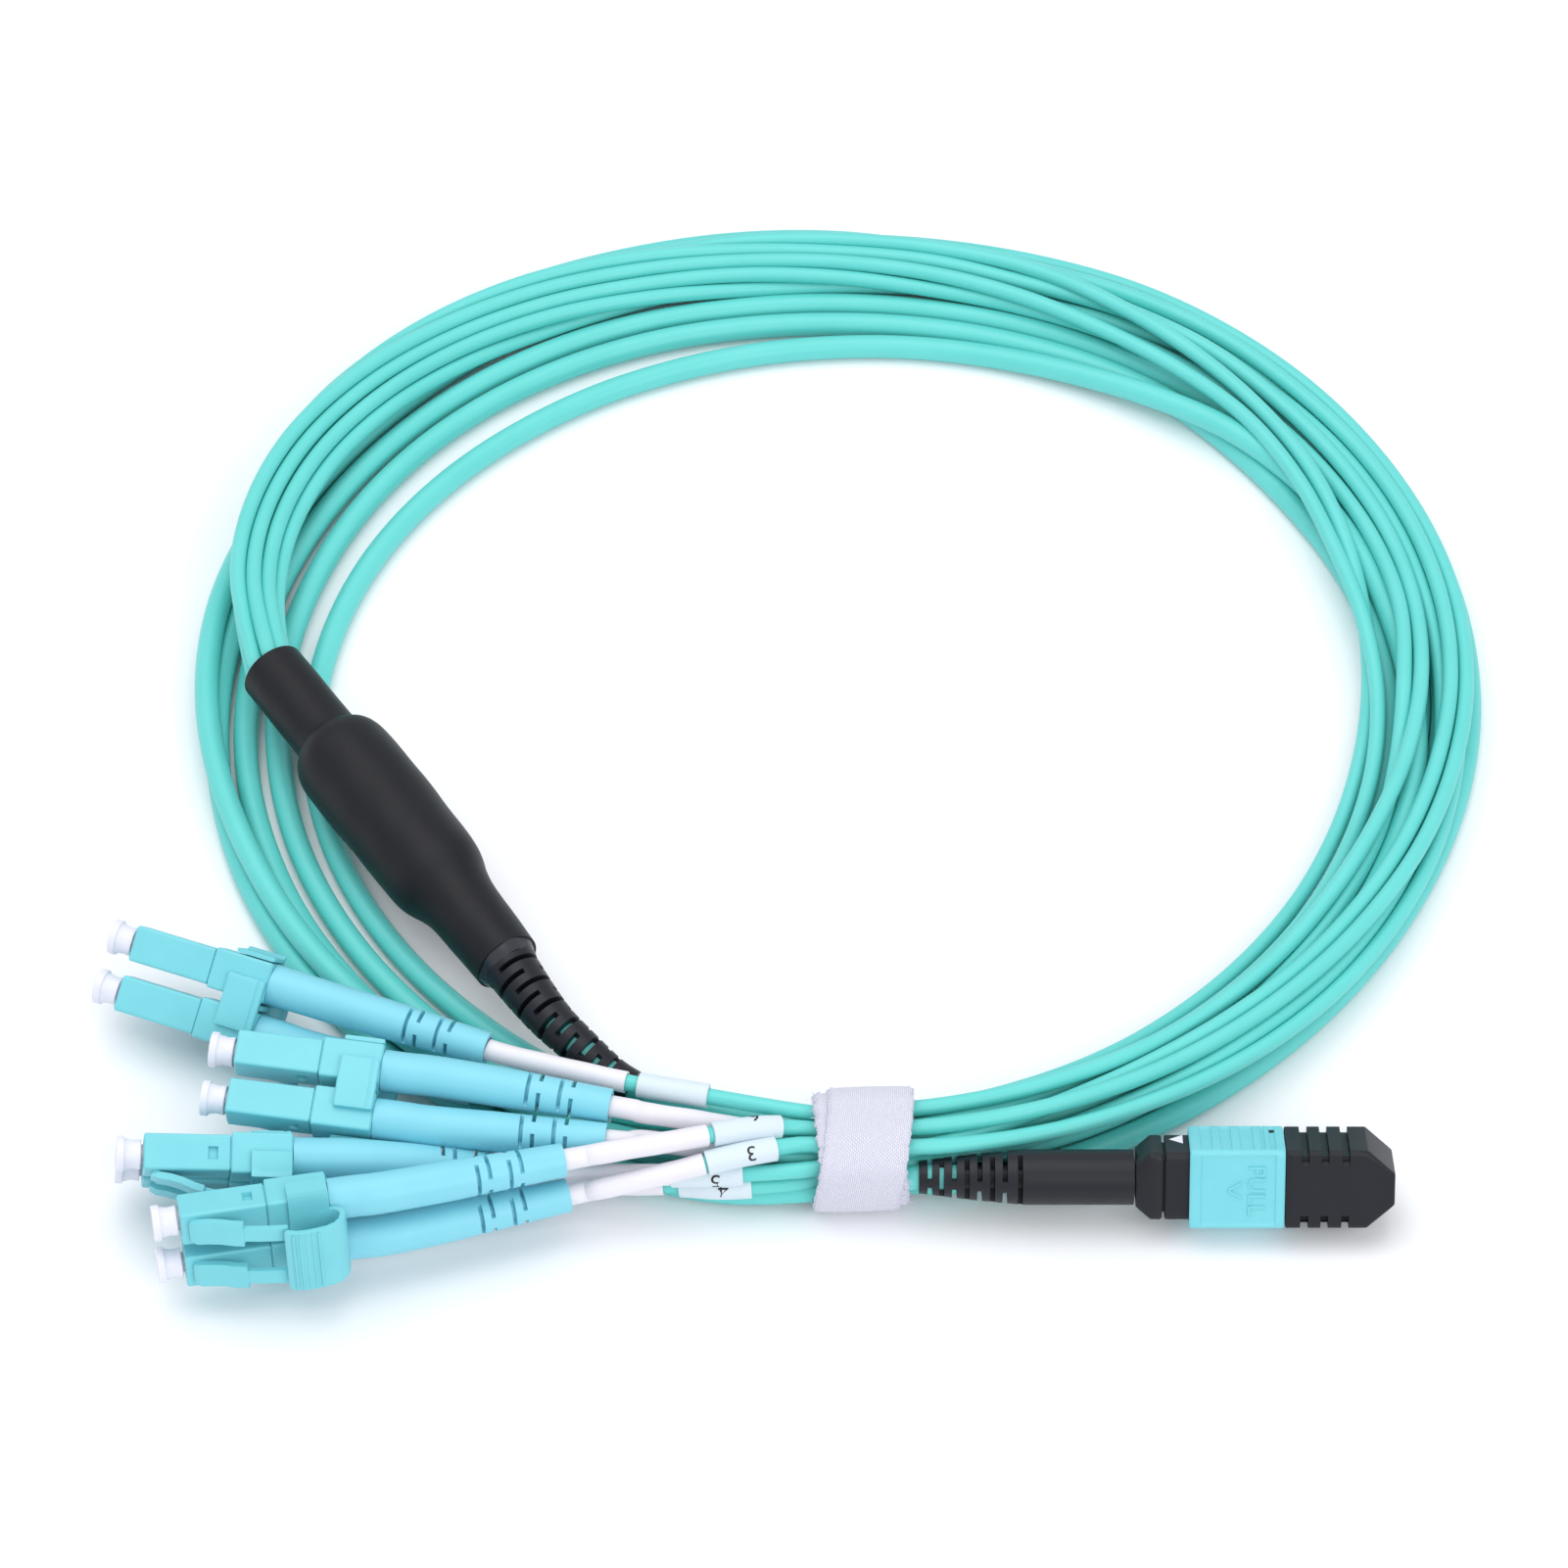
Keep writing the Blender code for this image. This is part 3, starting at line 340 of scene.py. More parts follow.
LEG_MOUTH = {
    "b1": (1.8, 1.5), "b2": (-0.2, 2.3), "c1": (-1.8, 1.4), "a1": (2.1, -0.5),
    "c2": (1.1, -1.9), "a2": (0.0, 0.1), "d2": (-1.2, -2.0), "d1": (-2.2, -0.6),
}
FANOUT_LEG_END = np.array((-69.9, -2.0, 10.1))
FANOUT_SLEEVE_END = np.array((-40.0, -47.9, 9.7))
fanout_axis = (FANOUT_SLEEVE_END - FANOUT_LEG_END) / np.linalg.norm(FANOUT_SLEEVE_END - FANOUT_LEG_END)
fanout_side = np.array((fanout_axis[1], -fanout_axis[0], 0.0))
LEG_END_X = -4.8
LEG_ENDS = {
    "a1": (-70.6, 9.5), "d2": (-73.1, 9.5), "d1": (-75.6, 9.5), "a2": (-70.8, 7.0),
    "b1": (-73.1, 7.1), "b2": (-75.5, 7.1), "c2": (-77.9, 7.5), "c1": (-77.9, 5.2),
}
LEG_ROUTES = {
    "a1": ((-25.3, -66.3, 9.6), (-18.3, -67.8, 9.6)),
    "a2": ((-34.8, -66.2, 5.4), (-23.0, -68.9, 5.8), (-13.7, -70.4, 6.0)),
    "b1": ((-23.5, -71.6, 10.6), (-14.0, -72.1, 8.8)),
    "b2": ((-23.5, -74.6, 9.0), (-14.0, -75.0, 7.8)),
    "c1": ((-30.0, -76.6, 3.0), (-19.5, -77.5, 4.2), (-13.6, -78.5, 5.0)),
    "c2": ((-29.9, -77.1, 5.8), (-16.0, -78.2, 7.0)),
    "d1": ((-28.7, -80.8, 7.6), (-20.6, -79.7, 9.2), (-12.5, -77.7, 10.0)),
    "d2": ((-28.6, -78.9, 12.0), (-20.6, -77.4, 12.3), (-10.5, -74.4, 11.0)),
}
BOOT_TIPS = {
    "a1": (-42.1, -61.1, 9.4), "a2": (-44.0, -64.0, 5.5), "b1": (-27.2, -71.1, 11.2),
    "b2": (-27.7, -75.3, 10.0), "c1": (-37.9, -75.2, 2.2), "c2": (-37.2, -77.4, 6.3),
    "d1": (-32.2, -80.9, 6.6), "d2": (-32.7, -79.6, 11.7),
}
PAIRS = {
    "a": ((-85.5, -48.0, 8.6), -20.2, -1.3, -142.2),
    "b": ((-72.2, -66.9, 11.5), -8.2, -0.9, -164.0),
    "c": ((-82.6, -77.6, 9.1), 2.1, -5.0, 115.0),
    "d": ((-77.4, -89.8, 9.4), 9.4, 0.6, 75.0),
}
PLUG_PITCH = 6.25
PLUG_LENGTH = 17.6
BOOT_LENGTH = 27.3


def rotation(axis, degrees):
    """The 3 x 3 matrix of a turn about x, y or z (0, 1 or 2): cosines on the diagonal, sines beside."""
    c, s = math.cos(math.radians(degrees)), math.sin(math.radians(degrees))
    i, j = (axis + 1) % 3, (axis + 2) % 3
    turn = np.eye(3)
    turn[i, i], turn[i, j], turn[j, i], turn[j, j] = c, -s, s, c
    return turn


PAIR_TURNS = {pair: rotation(2, h) @ rotation(1, -p) @ rotation(0, r) for pair, (_, h, p, r) in PAIRS.items()}


def in_pair(leg, point):
    """A point of one plug of a pair, x back from its front face and latch up, placed on the table."""
    across = (-1 if leg[1] == "1" else 1) * PLUG_PITCH / 2
    return np.array(PAIRS[leg[0]][0]) + (np.asarray(point, float) + (0, across, 0)) @ PAIR_TURNS[leg[0]].T


boot_lines, tail_lines = {}, {}
for leg, slot_at in LEG_MOUTH.items():
    boot_start = PLUG_LENGTH + 0.3
    boot_bend = [in_pair(leg, (boot_start + share * BOOT_LENGTH, 0, 0)) for share in (0, 0.1, 0.3)]
    boot_lines[leg] = smooth_line([*boot_bend, BOOT_TIPS[leg]], BOOT_LENGTH / 6)
    tip = boot_lines[leg][-1]
    ahead = tip + 3.0 * (tip - boot_lines[leg][-2]) / np.linalg.norm(tip - boot_lines[leg][-2])
    strap_end = (LEG_END_X, *LEG_ENDS[leg])
    tail_lines[leg] = smooth_line([tip, ahead, *LEG_ROUTES[leg], strap_end], 1.2)
    mouth = FANOUT_LEG_END + slot_at[0] * fanout_side + (0, 0, slot_at[1])
    round_coil = lane_points(LEG_LANES[leg], 170)
    out = [mouth + fanout_axis * 1.6, mouth - fanout_axis * 1.2]
    leg_line = smooth_line([*out, *round_coil, strap_end, *LEG_ROUTES[leg][::-1], ahead, tip], 1.4)
    found = cable(f"leg_cable_{leg}", leg_line, LEG_DIAMETER, jacket)
    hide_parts(f"leg_{leg}", "leg_bundle")

# The fan-out's sleeve: adhesive-lined polyolefin heat-shrink, black, shrunk over the dividing piece.
# Heat drew it down to a neck round the eight legs at one end and round the boot at the other.
def closed_skin(name, rings, material, body="cable", hides=(), sharp=35, cyclic=False):
    """A closed skin over rings of points, given as an array rings x points x 3 in millimetres.

    Quads join neighbouring rings; a fan to the ring's middle closes each end, or the last ring joins
    the first. Faces turn outward by the sign of the enclosed volume.
    """
    count, around = rings.shape[:2]
    points = rings.reshape(-1, 3)
    first = np.arange(count if cyclic else count - 1)[:, None] * around
    k = np.arange(around)[None, :]
    follow = (k + 1) % around
    beyond = (first + around) % (count * around)
    quads = np.stack([first + k, first + follow, beyond + follow, beyond + k], axis=-1).reshape(-1, 4)
    fans = np.zeros((0, 3), int)
    if not cyclic:
        points = np.concatenate([points, rings[0].mean(axis=0)[None], rings[-1].mean(axis=0)[None]])
        near, far = count * around, count * around + 1
        last = (count - 1) * around
        start_fan = np.stack([np.full(around, near), follow[0], k[0]], axis=1)
        end_fan = np.stack([np.full(around, far), last + k[0], last + follow[0]], axis=1)
        fans = np.concatenate([start_fan, end_fan])
    corner = points[np.concatenate([quads[:, [0, 1, 2]], quads[:, [0, 2, 3]], fans])]
    if np.einsum("ij,ij->", corner[:, 0], np.cross(corner[:, 1], corner[:, 2])) < 0:
        quads, fans = quads[:, ::-1], fans[:, ::-1]
    mesh = bpy.data.meshes.new(name)
    mesh.from_pydata(row_frame(points).tolist(), [], quads.tolist() + fans.tolist())
    mesh.shade_smooth()
    mesh.set_sharp_from_angle(angle=math.radians(sharp))
    return add_piece(name, mesh, material, body, hides)


def add_piece(name, mesh, material, body, hides):
    """An object at the origin with this mesh, on its body, in place of the CAD nodes named."""
    mesh.materials.clear()
    mesh.materials.append(material)
    piece = bpy.data.objects.new(name, mesh)
    bpy.context.scene.collection.objects.link(piece)
    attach(piece, body)
    if hides:
        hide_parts(*hides)
    return piece


def along(line, distances, section, side):
    """Rings of a flat section carried along a line, at these distances from its start.

    Each ring is the line's point + first coordinate x side + second x top; top = ahead x the side
    hint, made unit, and side = top x ahead, so the section stays square to the line.
    """
    line = np.asarray(line, float)
    run = run_along(line)
    place, ahead = (
        np.stack([np.interp(distances, run, values[:, k]) for k in range(3)], axis=1)
        for values in (line, np.gradient(line, axis=0))
    )
    ahead /= np.linalg.norm(ahead, axis=1)[:, None]
    top = np.cross(ahead, side)
    top /= np.linalg.norm(top, axis=1)[:, None]
    across = np.cross(top, ahead)
    section = np.broadcast_to(section, (len(place), *np.shape(section)[-2:]))
    return place[:, None] + section[..., :1] * across[:, None] + section[..., 1:] * top[:, None]


def circle(radius, sides=40):
    """Rings of points on circles: radius x (cos, sin), one circle for each radius given."""
    turn = np.arange(sides) * 2 * math.pi / sides
    return np.asarray(radius, float).reshape(-1, 1, 1) * np.stack([np.cos(turn), np.sin(turn)], axis=1)


def eased(profile, spacing):
    """Distances and radii on a smooth curve through (distance, radius) points of a profile."""
    line = smooth_line([(*point, 0) for point in profile], spacing)
    return line[:, 0], line[:, 1]


# Heat-shrunk polyolefin: soft satin black with a barely rippled skin.
shrink, tree, shader = finish("heat_shrink_black_polyolefin", "#101117", 0.5, 1.36)
mottle(tree, shader, "#0D0E13", "#14151C", 6.0)
grain(tree, shader, 1.1, 0.02)

SLEEVE_LENGTH = float(np.linalg.norm(FANOUT_SLEEVE_END - FANOUT_LEG_END))
SLEEVE_PROFILE = [
    (0, 4.1), (4, 4.15), (12.6, 4.2), (13.8, 4.6), (14.9, 5.5), (16.4, 6.1), (18.7, 6.3), (25, 6.35),
    (31, 6.25), (37.6, 6.15), (40.0, 5.8), (42.4, 5.0), (45.0, 4.55), (50, 4.35), (SLEEVE_LENGTH, 4.15),
]
distance, radius = eased(SLEEVE_PROFILE, 0.5)
turn = np.arange(48) * 2 * math.pi / 48
from_end = distance[:, None]
ripple = 1 + 0.006 * np.sin(3 * turn + from_end * 0.35) + 0.004 * np.sin(5 * turn - from_end * 0.8)
section = circle(radius, 48) * ripple[..., None]
rings = along([FANOUT_LEG_END, FANOUT_SLEEVE_END], distance, section, fanout_side)
middle_start, middle_end = FANOUT_LEG_END[None, None], FANOUT_SLEEVE_END[None, None]
lip_in = middle_end + (rings[-1:] - middle_end) * 0.82
mouth_in = middle_start + (rings[:1] - middle_start) * 0.93
rings = np.concatenate([mouth_in + fanout_axis * 1.2, mouth_in, rings, lip_in, lip_in - fanout_axis * 0.9])
closed_skin("fanout_heat_shrink", rings, shrink, hides=("fanout_sleeve",))

# The fan-out's boot: soft black elastomer, moulded with rows of slots so that it bends with the trunk.
# The trunk runs inside it and shows aqua in the slots. Clear adhesive has risen round its root.
BOOT_AROUND = 56


def boot_rings(line, profile, slots, floor, side, half_slot=0.28, half_arc=64):
    """Rings of a bending boot: a tube whose wall is cut by pairs of opposite arc slots.

    slots lists (distance, middle angle in degrees); in a slot the radius falls to the floor.
    Stations are 0.8 mm apart, with one just inside and one just outside each slot's edges.
    """
    run = float(np.linalg.norm(np.diff(line, axis=0), axis=1).sum())
    cut_at = np.array([slot[0] for slot in slots])
    beside = (-half_slot - 0.03, -half_slot + 0.03, half_slot - 0.03, half_slot + 0.03)
    edges = np.concatenate([cut_at + d for d in beside])
    stations = np.unique(np.round(np.concatenate([np.linspace(0, run, int(run / 0.8)), edges]), 3))
    wall = np.interp(stations, *np.transpose(profile))
    angle = np.arange(BOOT_AROUND) * 360 / BOOT_AROUND
    radius = np.repeat(wall[:, None], BOOT_AROUND, axis=1)
    for where, middle in slots:
        off = np.abs((angle - middle + 90) % 180 - 90)
        cut = (np.abs(stations - where) < half_slot)[:, None] & (off < half_arc)[None]
        radius = np.where(cut, np.minimum(radius, floor), radius)
    turn = np.radians(angle)
    section = radius[..., None] * np.stack([np.cos(turn), np.sin(turn)], axis=1)
    rings = along(line, stations, section, side)
    start, end = rings[0].mean(axis=0), rings[-1].mean(axis=0)
    rim = end + (rings[-1:] - end) * 0.72
    root = start + (rings[:1] - start) * 0.93
    inward = (rings[-1:] - rings[-2:-1]).mean(axis=(0, 1))
    inward *= 0.9 / np.linalg.norm(inward)
    return np.concatenate([root, rings, rim, rim - inward])


# Moulded black elastomer and plastic: dark slate, satin, with fine mould texture.
black, tree, shader = finish("moulded_black_plastic", "#171920", 0.42, 1.38)
mottle(tree, shader, "#15171D", "#1B1D25", 5.0)
grain(tree, shader, 0.25, 0.012)

boot_start = FANOUT_SLEEVE_END - fanout_axis * 0.6
boot_line = smooth_line([boot_start, (-37.2, -52.3, 9.1), *TRUNK_END[:2:-1]], 0.4)
boot_slots = [(2.6 + 1.75 * i, 90 * (i % 2) + 70) for i in range(11)]
boot_profile = [(0, 3.5), (1.6, 3.5), (2.0, 3.3), (12, 2.6), (22, 2.1)]
TRUNK_BOOT_FLOOR = 1.42
rings = boot_rings(boot_line, boot_profile, boot_slots, TRUNK_BOOT_FLOOR, fanout_side, 0.3)
closed_skin("fanout_bending_boot", rings, black, hides=("fanout_boot",))

# Hot-melt adhesive: smooth and glossy, and dark because the black plastic shows through it.
glue, tree, shader = finish("adhesive_bead_clear", "#2B2D34", 0.2)
turn = np.arange(40) * 2 * math.pi / 40
bead_radius = 3.55 + 0.12 * np.sin(3 * turn) + 0.08 * np.sin(7 * turn + 1)
bead = np.stack([np.cos(turn), np.sin(turn)], axis=1) * bead_radius[:, None]
bead_section = np.stack([bead * share for share in (1.0, 1.12, 1.06, 1.0, 0.93)])
bead_line = [FANOUT_SLEEVE_END - fanout_axis, FANOUT_SLEEVE_END + 2 * fanout_axis]
rings = along(bead_line, np.array([0.5, 0.9, 1.3, 1.9, 2.3]), bead_section, fanout_side)
closed_skin("fanout_adhesive_bead", rings, glue)

# The eight small plugs: glass-filled thermoplastic, aqua, injection moulded in two halves with a seam.
# Each has a latch moulded on top, a small window in both sides, and a round socket in front.
def rounded_loop(half_wide, half_high, corner, per_side=24):
    """Points on rounded rectangles: even on a rectangle, then each corner's pulled on to its arc.

    A point p goes to q + corner (p - q) / |p - q|, with q the nearest point of the rectangle that is
    smaller by the corner all round. The sizes may be arrays: one loop for each.
    """
    step = (np.arange(per_side) + 0.5) / per_side * 2 - 1
    one = np.ones(per_side)
    square_x, square_y = np.concatenate([one, -step, -one, step]), np.concatenate([step, one, -step, -one])
    square = np.stack([square_x, square_y], axis=1)
    half = np.stack(np.broadcast_arrays(half_wide, half_high), axis=-1).astype(float)[..., None, :]
    corner = np.asarray(corner, float)[..., None, None]
    spot = square * half
    inner = np.clip(spot, corner - half, half - corner)
    off = spot - inner
    return inner + corner * off / np.maximum(np.linalg.norm(off, axis=-1, keepdims=True), 1e-9)


def block(rows, per_side=24):
    """Rings of a block on the x axis; rows are (x, half width in y, half height in z, corner)."""
    x, wide, high, corner = np.array(rows, float).T
    loop = rounded_loop(wide, high, corner, per_side)
    return np.concatenate([np.broadcast_to(x[:, None, None], (*loop.shape[:2], 1)), loop], axis=2)


def pushed(rings, low, high, move):
    """The rings with every point between two corners moved: a pocket, a groove or a raised pad."""
    inside = np.all((rings > low) & (rings < high), axis=2)
    return rings + inside[..., None] * np.asarray(move, float)


def strip(path, wide, thick, corner=0.12):
    """Rings of a strip whose side view is a path of (x, z) points and whose width lies along y.

    Its two end rings are smaller by 0.6 of the corner, so that its ends look rounded too.
    """
    line = np.insert(np.array(path, float), 1, 0, axis=1)
    run = run_along(line)
    stations = np.concatenate([run[:1], run[:1] + corner, run[1:-1], run[-1:] - corner, run[-1:]])
    sizes = [np.broadcast_to(size, run.shape) for size in (wide, thick)]
    halves = np.array([np.interp(stations, run, size) / 2 for size in sizes])
    halves[:, [0, -1]] -= 0.6 * corner
    return along(line, stations, rounded_loop(*halves, corner, 6), (0, 1, 0))


# Aqua engineering plastic: satin, fine mould texture, slightly bluer than the cable's jacket.
housing_plastic, tree, shader = finish("aqua_moulded_thermoplastic", "#74CCD6", 0.38)
mottle(tree, shader, "#6FC7D2", "#79D1DB", 4.0)
grain(tree, shader, 0.18, 0.010)

LATCH = [
    (1.1, 2.35), (1.9, 2.75), (3.2, 2.95), (4.6, 3.35), (6.0, 3.95), (7.2, 4.3), (7.25, 4.3), (9.0, 4.7),
    (11.0, 5.05), (12.3, 5.2),
]
LATCH_WIDE = [2.9, 3.2, 3.2, 3.2, 3.2, 3.2, 1.9, 1.9, 1.9, 1.9]
LATCH_THICK = [0.9, 1.0, 1.0, 1.0, 1.0, 0.95, 0.8, 0.8, 0.8, 0.8]
# Rows of (x, half size, corner): the body is square, and the plug's rear half is a little bigger.
BODY_ROWS = [
    (0, 2.0, 0.2), (0.18, 2.2, 0.3), (2, 2.2, 0.3), (7.58, 2.2, 0.3), (7.66, 2.2, 0.3), (8.68, 2.2, 0.3),
    (8.76, 2.2, 0.3), (10.15, 2.2, 0.3), (10.2, 2.02, 0.25), (10.32, 2.02, 0.25), (10.36, 2.4, 0.3),
    (10.5, 2.5, 0.3), (17.4, 2.5, 0.3), (17.6, 2.3, 0.3),
]
SOCKET_DEPTH, SOCKET_RADIUS = 5.9, 1.9
plug = block([(x, half, half, corner) for x, half, corner in BODY_ROWS], 28)
for side in (-1, 1):
    low, high = sorted((side * 2.0, side * 2.5))
    plug = pushed(plug, (7.6, low, -0.7), (8.74, high, 0.75), (0, -side * 0.55, 0))
direction = plug[0, :, 1:] / np.linalg.norm(plug[0, :, 1:], axis=1)[:, None]
mouth = np.minimum(np.abs(plug[0, :, 1:]), np.abs(direction * (SOCKET_RADIUS + 0.05))) * np.sign(direction)
socket = [(SOCKET_DEPTH, direction * SOCKET_RADIUS), (0.1, direction * SOCKET_RADIUS), (0, mouth)]
socket = [np.column_stack([np.full(len(loop), x), loop]) for x, loop in socket]
plug = np.concatenate([np.stack(socket), plug])
latch = strip(LATCH, LATCH_WIDE, LATCH_THICK)
for leg in LEG_MOUTH:
    closed_skin(
        f"plug_body_{leg}", in_pair(leg, plug), housing_plastic, hides=(f"lc_plug_{leg}",)
    )
    closed_skin(f"plug_latch_{leg}", in_pair(leg, latch), housing_plastic)

# The ferrules: white zirconia ceramic, ground and polished to 1.25 mm, one in the middle of each socket.
# They stand on the socket's floor and show when a cap is off. The cap's bore goes over each with room.
def lathe(profile):
    """Rings turned about the x axis from a profile of (x, radius) points."""
    x, radius = np.array(profile).T
    loops = circle(radius)
    return np.concatenate([np.broadcast_to(x[:, None, None], (*loops.shape[:2], 1)), loops], axis=2)


# Polished ceramic: hard, near white and glossy, with the high IOR of zirconia.
ceramic, tree, shader = finish("ferrule_polished_zirconia", "#ECEBE7", 0.15, 2.15)

ferrule = lathe([(0.4, 0.35), (0.46, 0.45), (0.66, 0.6), (0.76, 0.625), (6.1, 0.625)])
for leg in LEG_MOUTH:
    closed_skin(f"plug_ferrule_{leg}", in_pair(leg, ferrule), ceramic)

# The small plugs' boots: soft elastomer, a lighter sky aqua, pushed over the crimp and bent by the cable.
# Rows of opposite slots near the tail let them bend; the white tubing goes into the hollow end.
boot_rubber, tree, shader = finish("boot_elastomer_sky_aqua", "#80CFE0", 0.45)
mottle(tree, shader, "#7CCBDC", "#85D3E3", 5.0)
grain(tree, shader, 0.3, 0.012)

BOOT_SLOTS = [(17.6, 90), (19.0, 0), (21.5, 90), (22.9, 0)]
for leg in LEG_MOUTH:
    start = in_pair(leg, (PLUG_LENGTH + 0.05, 0, 0))
    bend = [in_pair(leg, (PLUG_LENGTH + 0.3 + share * BOOT_LENGTH, 0, 0)) for share in (0.1, 0.3)]
    line = smooth_line([start, *bend, BOOT_TIPS[leg]], 0.5)
    across = PAIR_TURNS[leg[0]] @ (0.0, 1.0, 0.0)
    rings = boot_rings(line, [(0, 2.5), (14, 2.42), (27.6, 2.05)], BOOT_SLOTS, 1.35, across, 0.22, 66)
    closed_skin(f"plug_boot_{leg}", rings, boot_rubber, hides=(f"lc_boot_{leg}",))

# The clips: one moulded piece each, in the plugs' plastic, snapped over two plugs at their rear.
# A plate crosses the back, and a ribbed trigger arches over both latches' tails to free them together.
TRIGGER = [
    (16.0, 2.9), (17.3, 2.92), (18.1, 3.0), (18.75, 3.5), (18.9, 4.3), (18.6, 5.3), (17.9, 6.05), (16.9, 6.5),
    (15.7, 6.72), (14.3, 6.85), (13.1, 6.75), (12.3, 6.45), (11.9, 6.2),
]
plate = block([
    (12.75, 3.1, 0.3, 0.1), (12.95, 3.25, 0.45, 0.15), (16.6, 3.25, 0.45, 0.15), (16.62, 3.25, 0.36, 0.1),
    (16.9, 3.25, 0.36, 0.1), (16.92, 3.25, 0.45, 0.15), (17.35, 3.25, 0.45, 0.15), (17.5, 3.1, 0.3, 0.1),
], 12)
plate[..., 2] -= 2.85
web = block([(12.7, 0.3, 2.9, 0.1), (17.5, 0.3, 2.9, 0.1)], 6)
saddle_line = [
    (15.1, -6.05, -2.0), (15.1, -6.05, 2.4), (15.1, -5.6, 2.9), (15.1, 5.6, 2.9), (15.1, 6.05, 2.4),
    (15.1, 6.05, -2.0),
]
saddle_run = np.linalg.norm(np.diff(saddle_line, axis=0), axis=1).sum()
saddle = along(
    smooth_line(saddle_line, 0.4), np.linspace(0, saddle_run, 60), rounded_loop(2.4, 0.28, 0.12, 6), (1, 0, 0)
)
clip_shapes = {"plate": plate, "web": web, "saddle": saddle, "trigger": strip(TRIGGER, 8.4, 0.8, 0.15)}
for i in range(5):
    rib_line = [(12.6 + 0.75 * i, 7.22), (12.85 + 0.75 * i, 7.22)]
    clip_shapes[f"rib_{i}"] = strip(rib_line, 8.0, 0.24, 0.08)
for pair in PAIRS:
    for name, shape in clip_shapes.items():
        placed = np.array(PAIRS[pair][0]) + shape @ PAIR_TURNS[pair].T
        hides = (f"lc_clip_{pair}",) if name == "saddle" else ()
        closed_skin(f"clip_{name}_{pair}", placed, housing_plastic, hides=hides)

# The small plugs' dust caps: natural polyethylene, moulded, pressed over each ferrule in the socket.
# A flange and a waisted neck show; the shank goes 4.5 mm in. Each pulls off its plug.
cap_plastic, tree, shader = finish("dust_cap_natural_polyethylene", "#E2E3EE", 0.4)
shader.inputs["Subsurface Weight"].default_value = 0.25
shader.inputs["Subsurface Radius"].default_value = (1.0, 1.0, 1.0)
shader.inputs["Subsurface Scale"].default_value = 0.0006
grain(tree, shader, 0.6, 0.008)

cap = lathe([
    (-1.0, 0.8), (4.5, 0.8), (4.5, 1.15), (4.4, 1.2), (-0.3, 1.2), (-0.3, 1.72), (-0.4, 1.8), (-1.3, 1.69),
    (-2.2, 1.87), (-2.3, 1.95), (-2.3, 2.08), (-2.38, 2.15), (-3.1, 2.15), (-3.2, 2.07), (-3.2, 1.55),
    (-2.95, 1.45),
])
for leg in LEG_MOUTH:
    closed_skin(
        f"dust_cap_{leg}", in_pair(leg, cap), cap_plastic, f"cap_{leg}", (f"lc_cap_{leg}",)
    )

# White tubings: thin polyolefin heat-shrink, satin and plain, over each leg where it leaves its boot.
# Shrinking leaves the wall a little uneven; the ends are cut square.
tubing_shrink, tree, shader = finish("heat_shrink_white_polyolefin", "#E4E2E8", 0.45)
mottle(tree, shader, "#E1DFE6", "#E8E6EC", 5.0)
grain(tree, shader, 0.7, 0.015)
TUBING_LENGTH = 17.5

for leg in LEG_MOUTH:
    line = tail_lines[leg]
    distances = np.linspace(0.0, TUBING_LENGTH, 30)
    wave = 1.3 + 0.02 * np.sin(distances * 1.1 + len(line))
    rings = along(line, distances, circle(wave, 32), (0, 0.2, 1))
    middle = rings[-1].mean(axis=0)
    inner = middle + (rings[-1:] - middle) * 0.86
    inward = (rings[-2:-1] - rings[-1:]).mean(axis=(0, 1))
    rings = np.concatenate([rings, inner, inner + inward])
    closed_skin(f"leg_tubing_{leg}", rings, tubing_shrink, hides=(f"tubing_{leg}",))

# The number sleeves: pale blue-white PVC, slid over five of the legs between tubing and strap.
# Four carry a plain number in black print, and the one beside the fan-out's boot shows a bare side.
label_vinyl, tree, shader = finish("number_sleeve_pale_vinyl", "#D2E0E8", 0.5)
grain(tree, shader, 0.4, 0.012)
# Black ink: a matt, thin layer just off the vinyl.
ink, tree, shader = finish("print_black_ink", "#1B1C20", 0.6)
LABELS = {
    "a1": (19.0, "", 0), "d2": (18.2, "6", 78), "d1": (17.8, "3", 2), "c2": (17.4, "5", -30),
    "c1": (19.5, "4", -8),
}
LABEL_LENGTH = 8.5
LABEL_RADIUS = 1.5
INK_RADIUS = LABEL_RADIUS + 0.03
DIGIT_SIZE = 2.7
TO_CAMERA = np.array((0.0, -0.643, 0.766))


def lettering(name, text, size, depth, place):
    """Plain characters as a mesh; place puts their flat points, in millimetres, on the table."""
    curve = bpy.data.curves.new(name, "FONT")
    curve.body = text
    curve.size = size
    curve.extrude = depth / 2
    curve.align_x = "CENTER"
    curve.align_y = "CENTER"
    draft = bpy.data.objects.new(name, curve)
    bpy.context.scene.collection.objects.link(draft)
    bpy.context.view_layer.update()
    mesh = bpy.data.meshes.new_from_object(draft.evaluated_get(bpy.context.evaluated_depsgraph_get()))
    bpy.data.objects.remove(draft)
    flat = np.zeros(len(mesh.vertices) * 3)
    mesh.vertices.foreach_get("co", flat)
    mesh.vertices.foreach_set("co", row_frame(place(flat.reshape(-1, 3))).ravel())
    return mesh


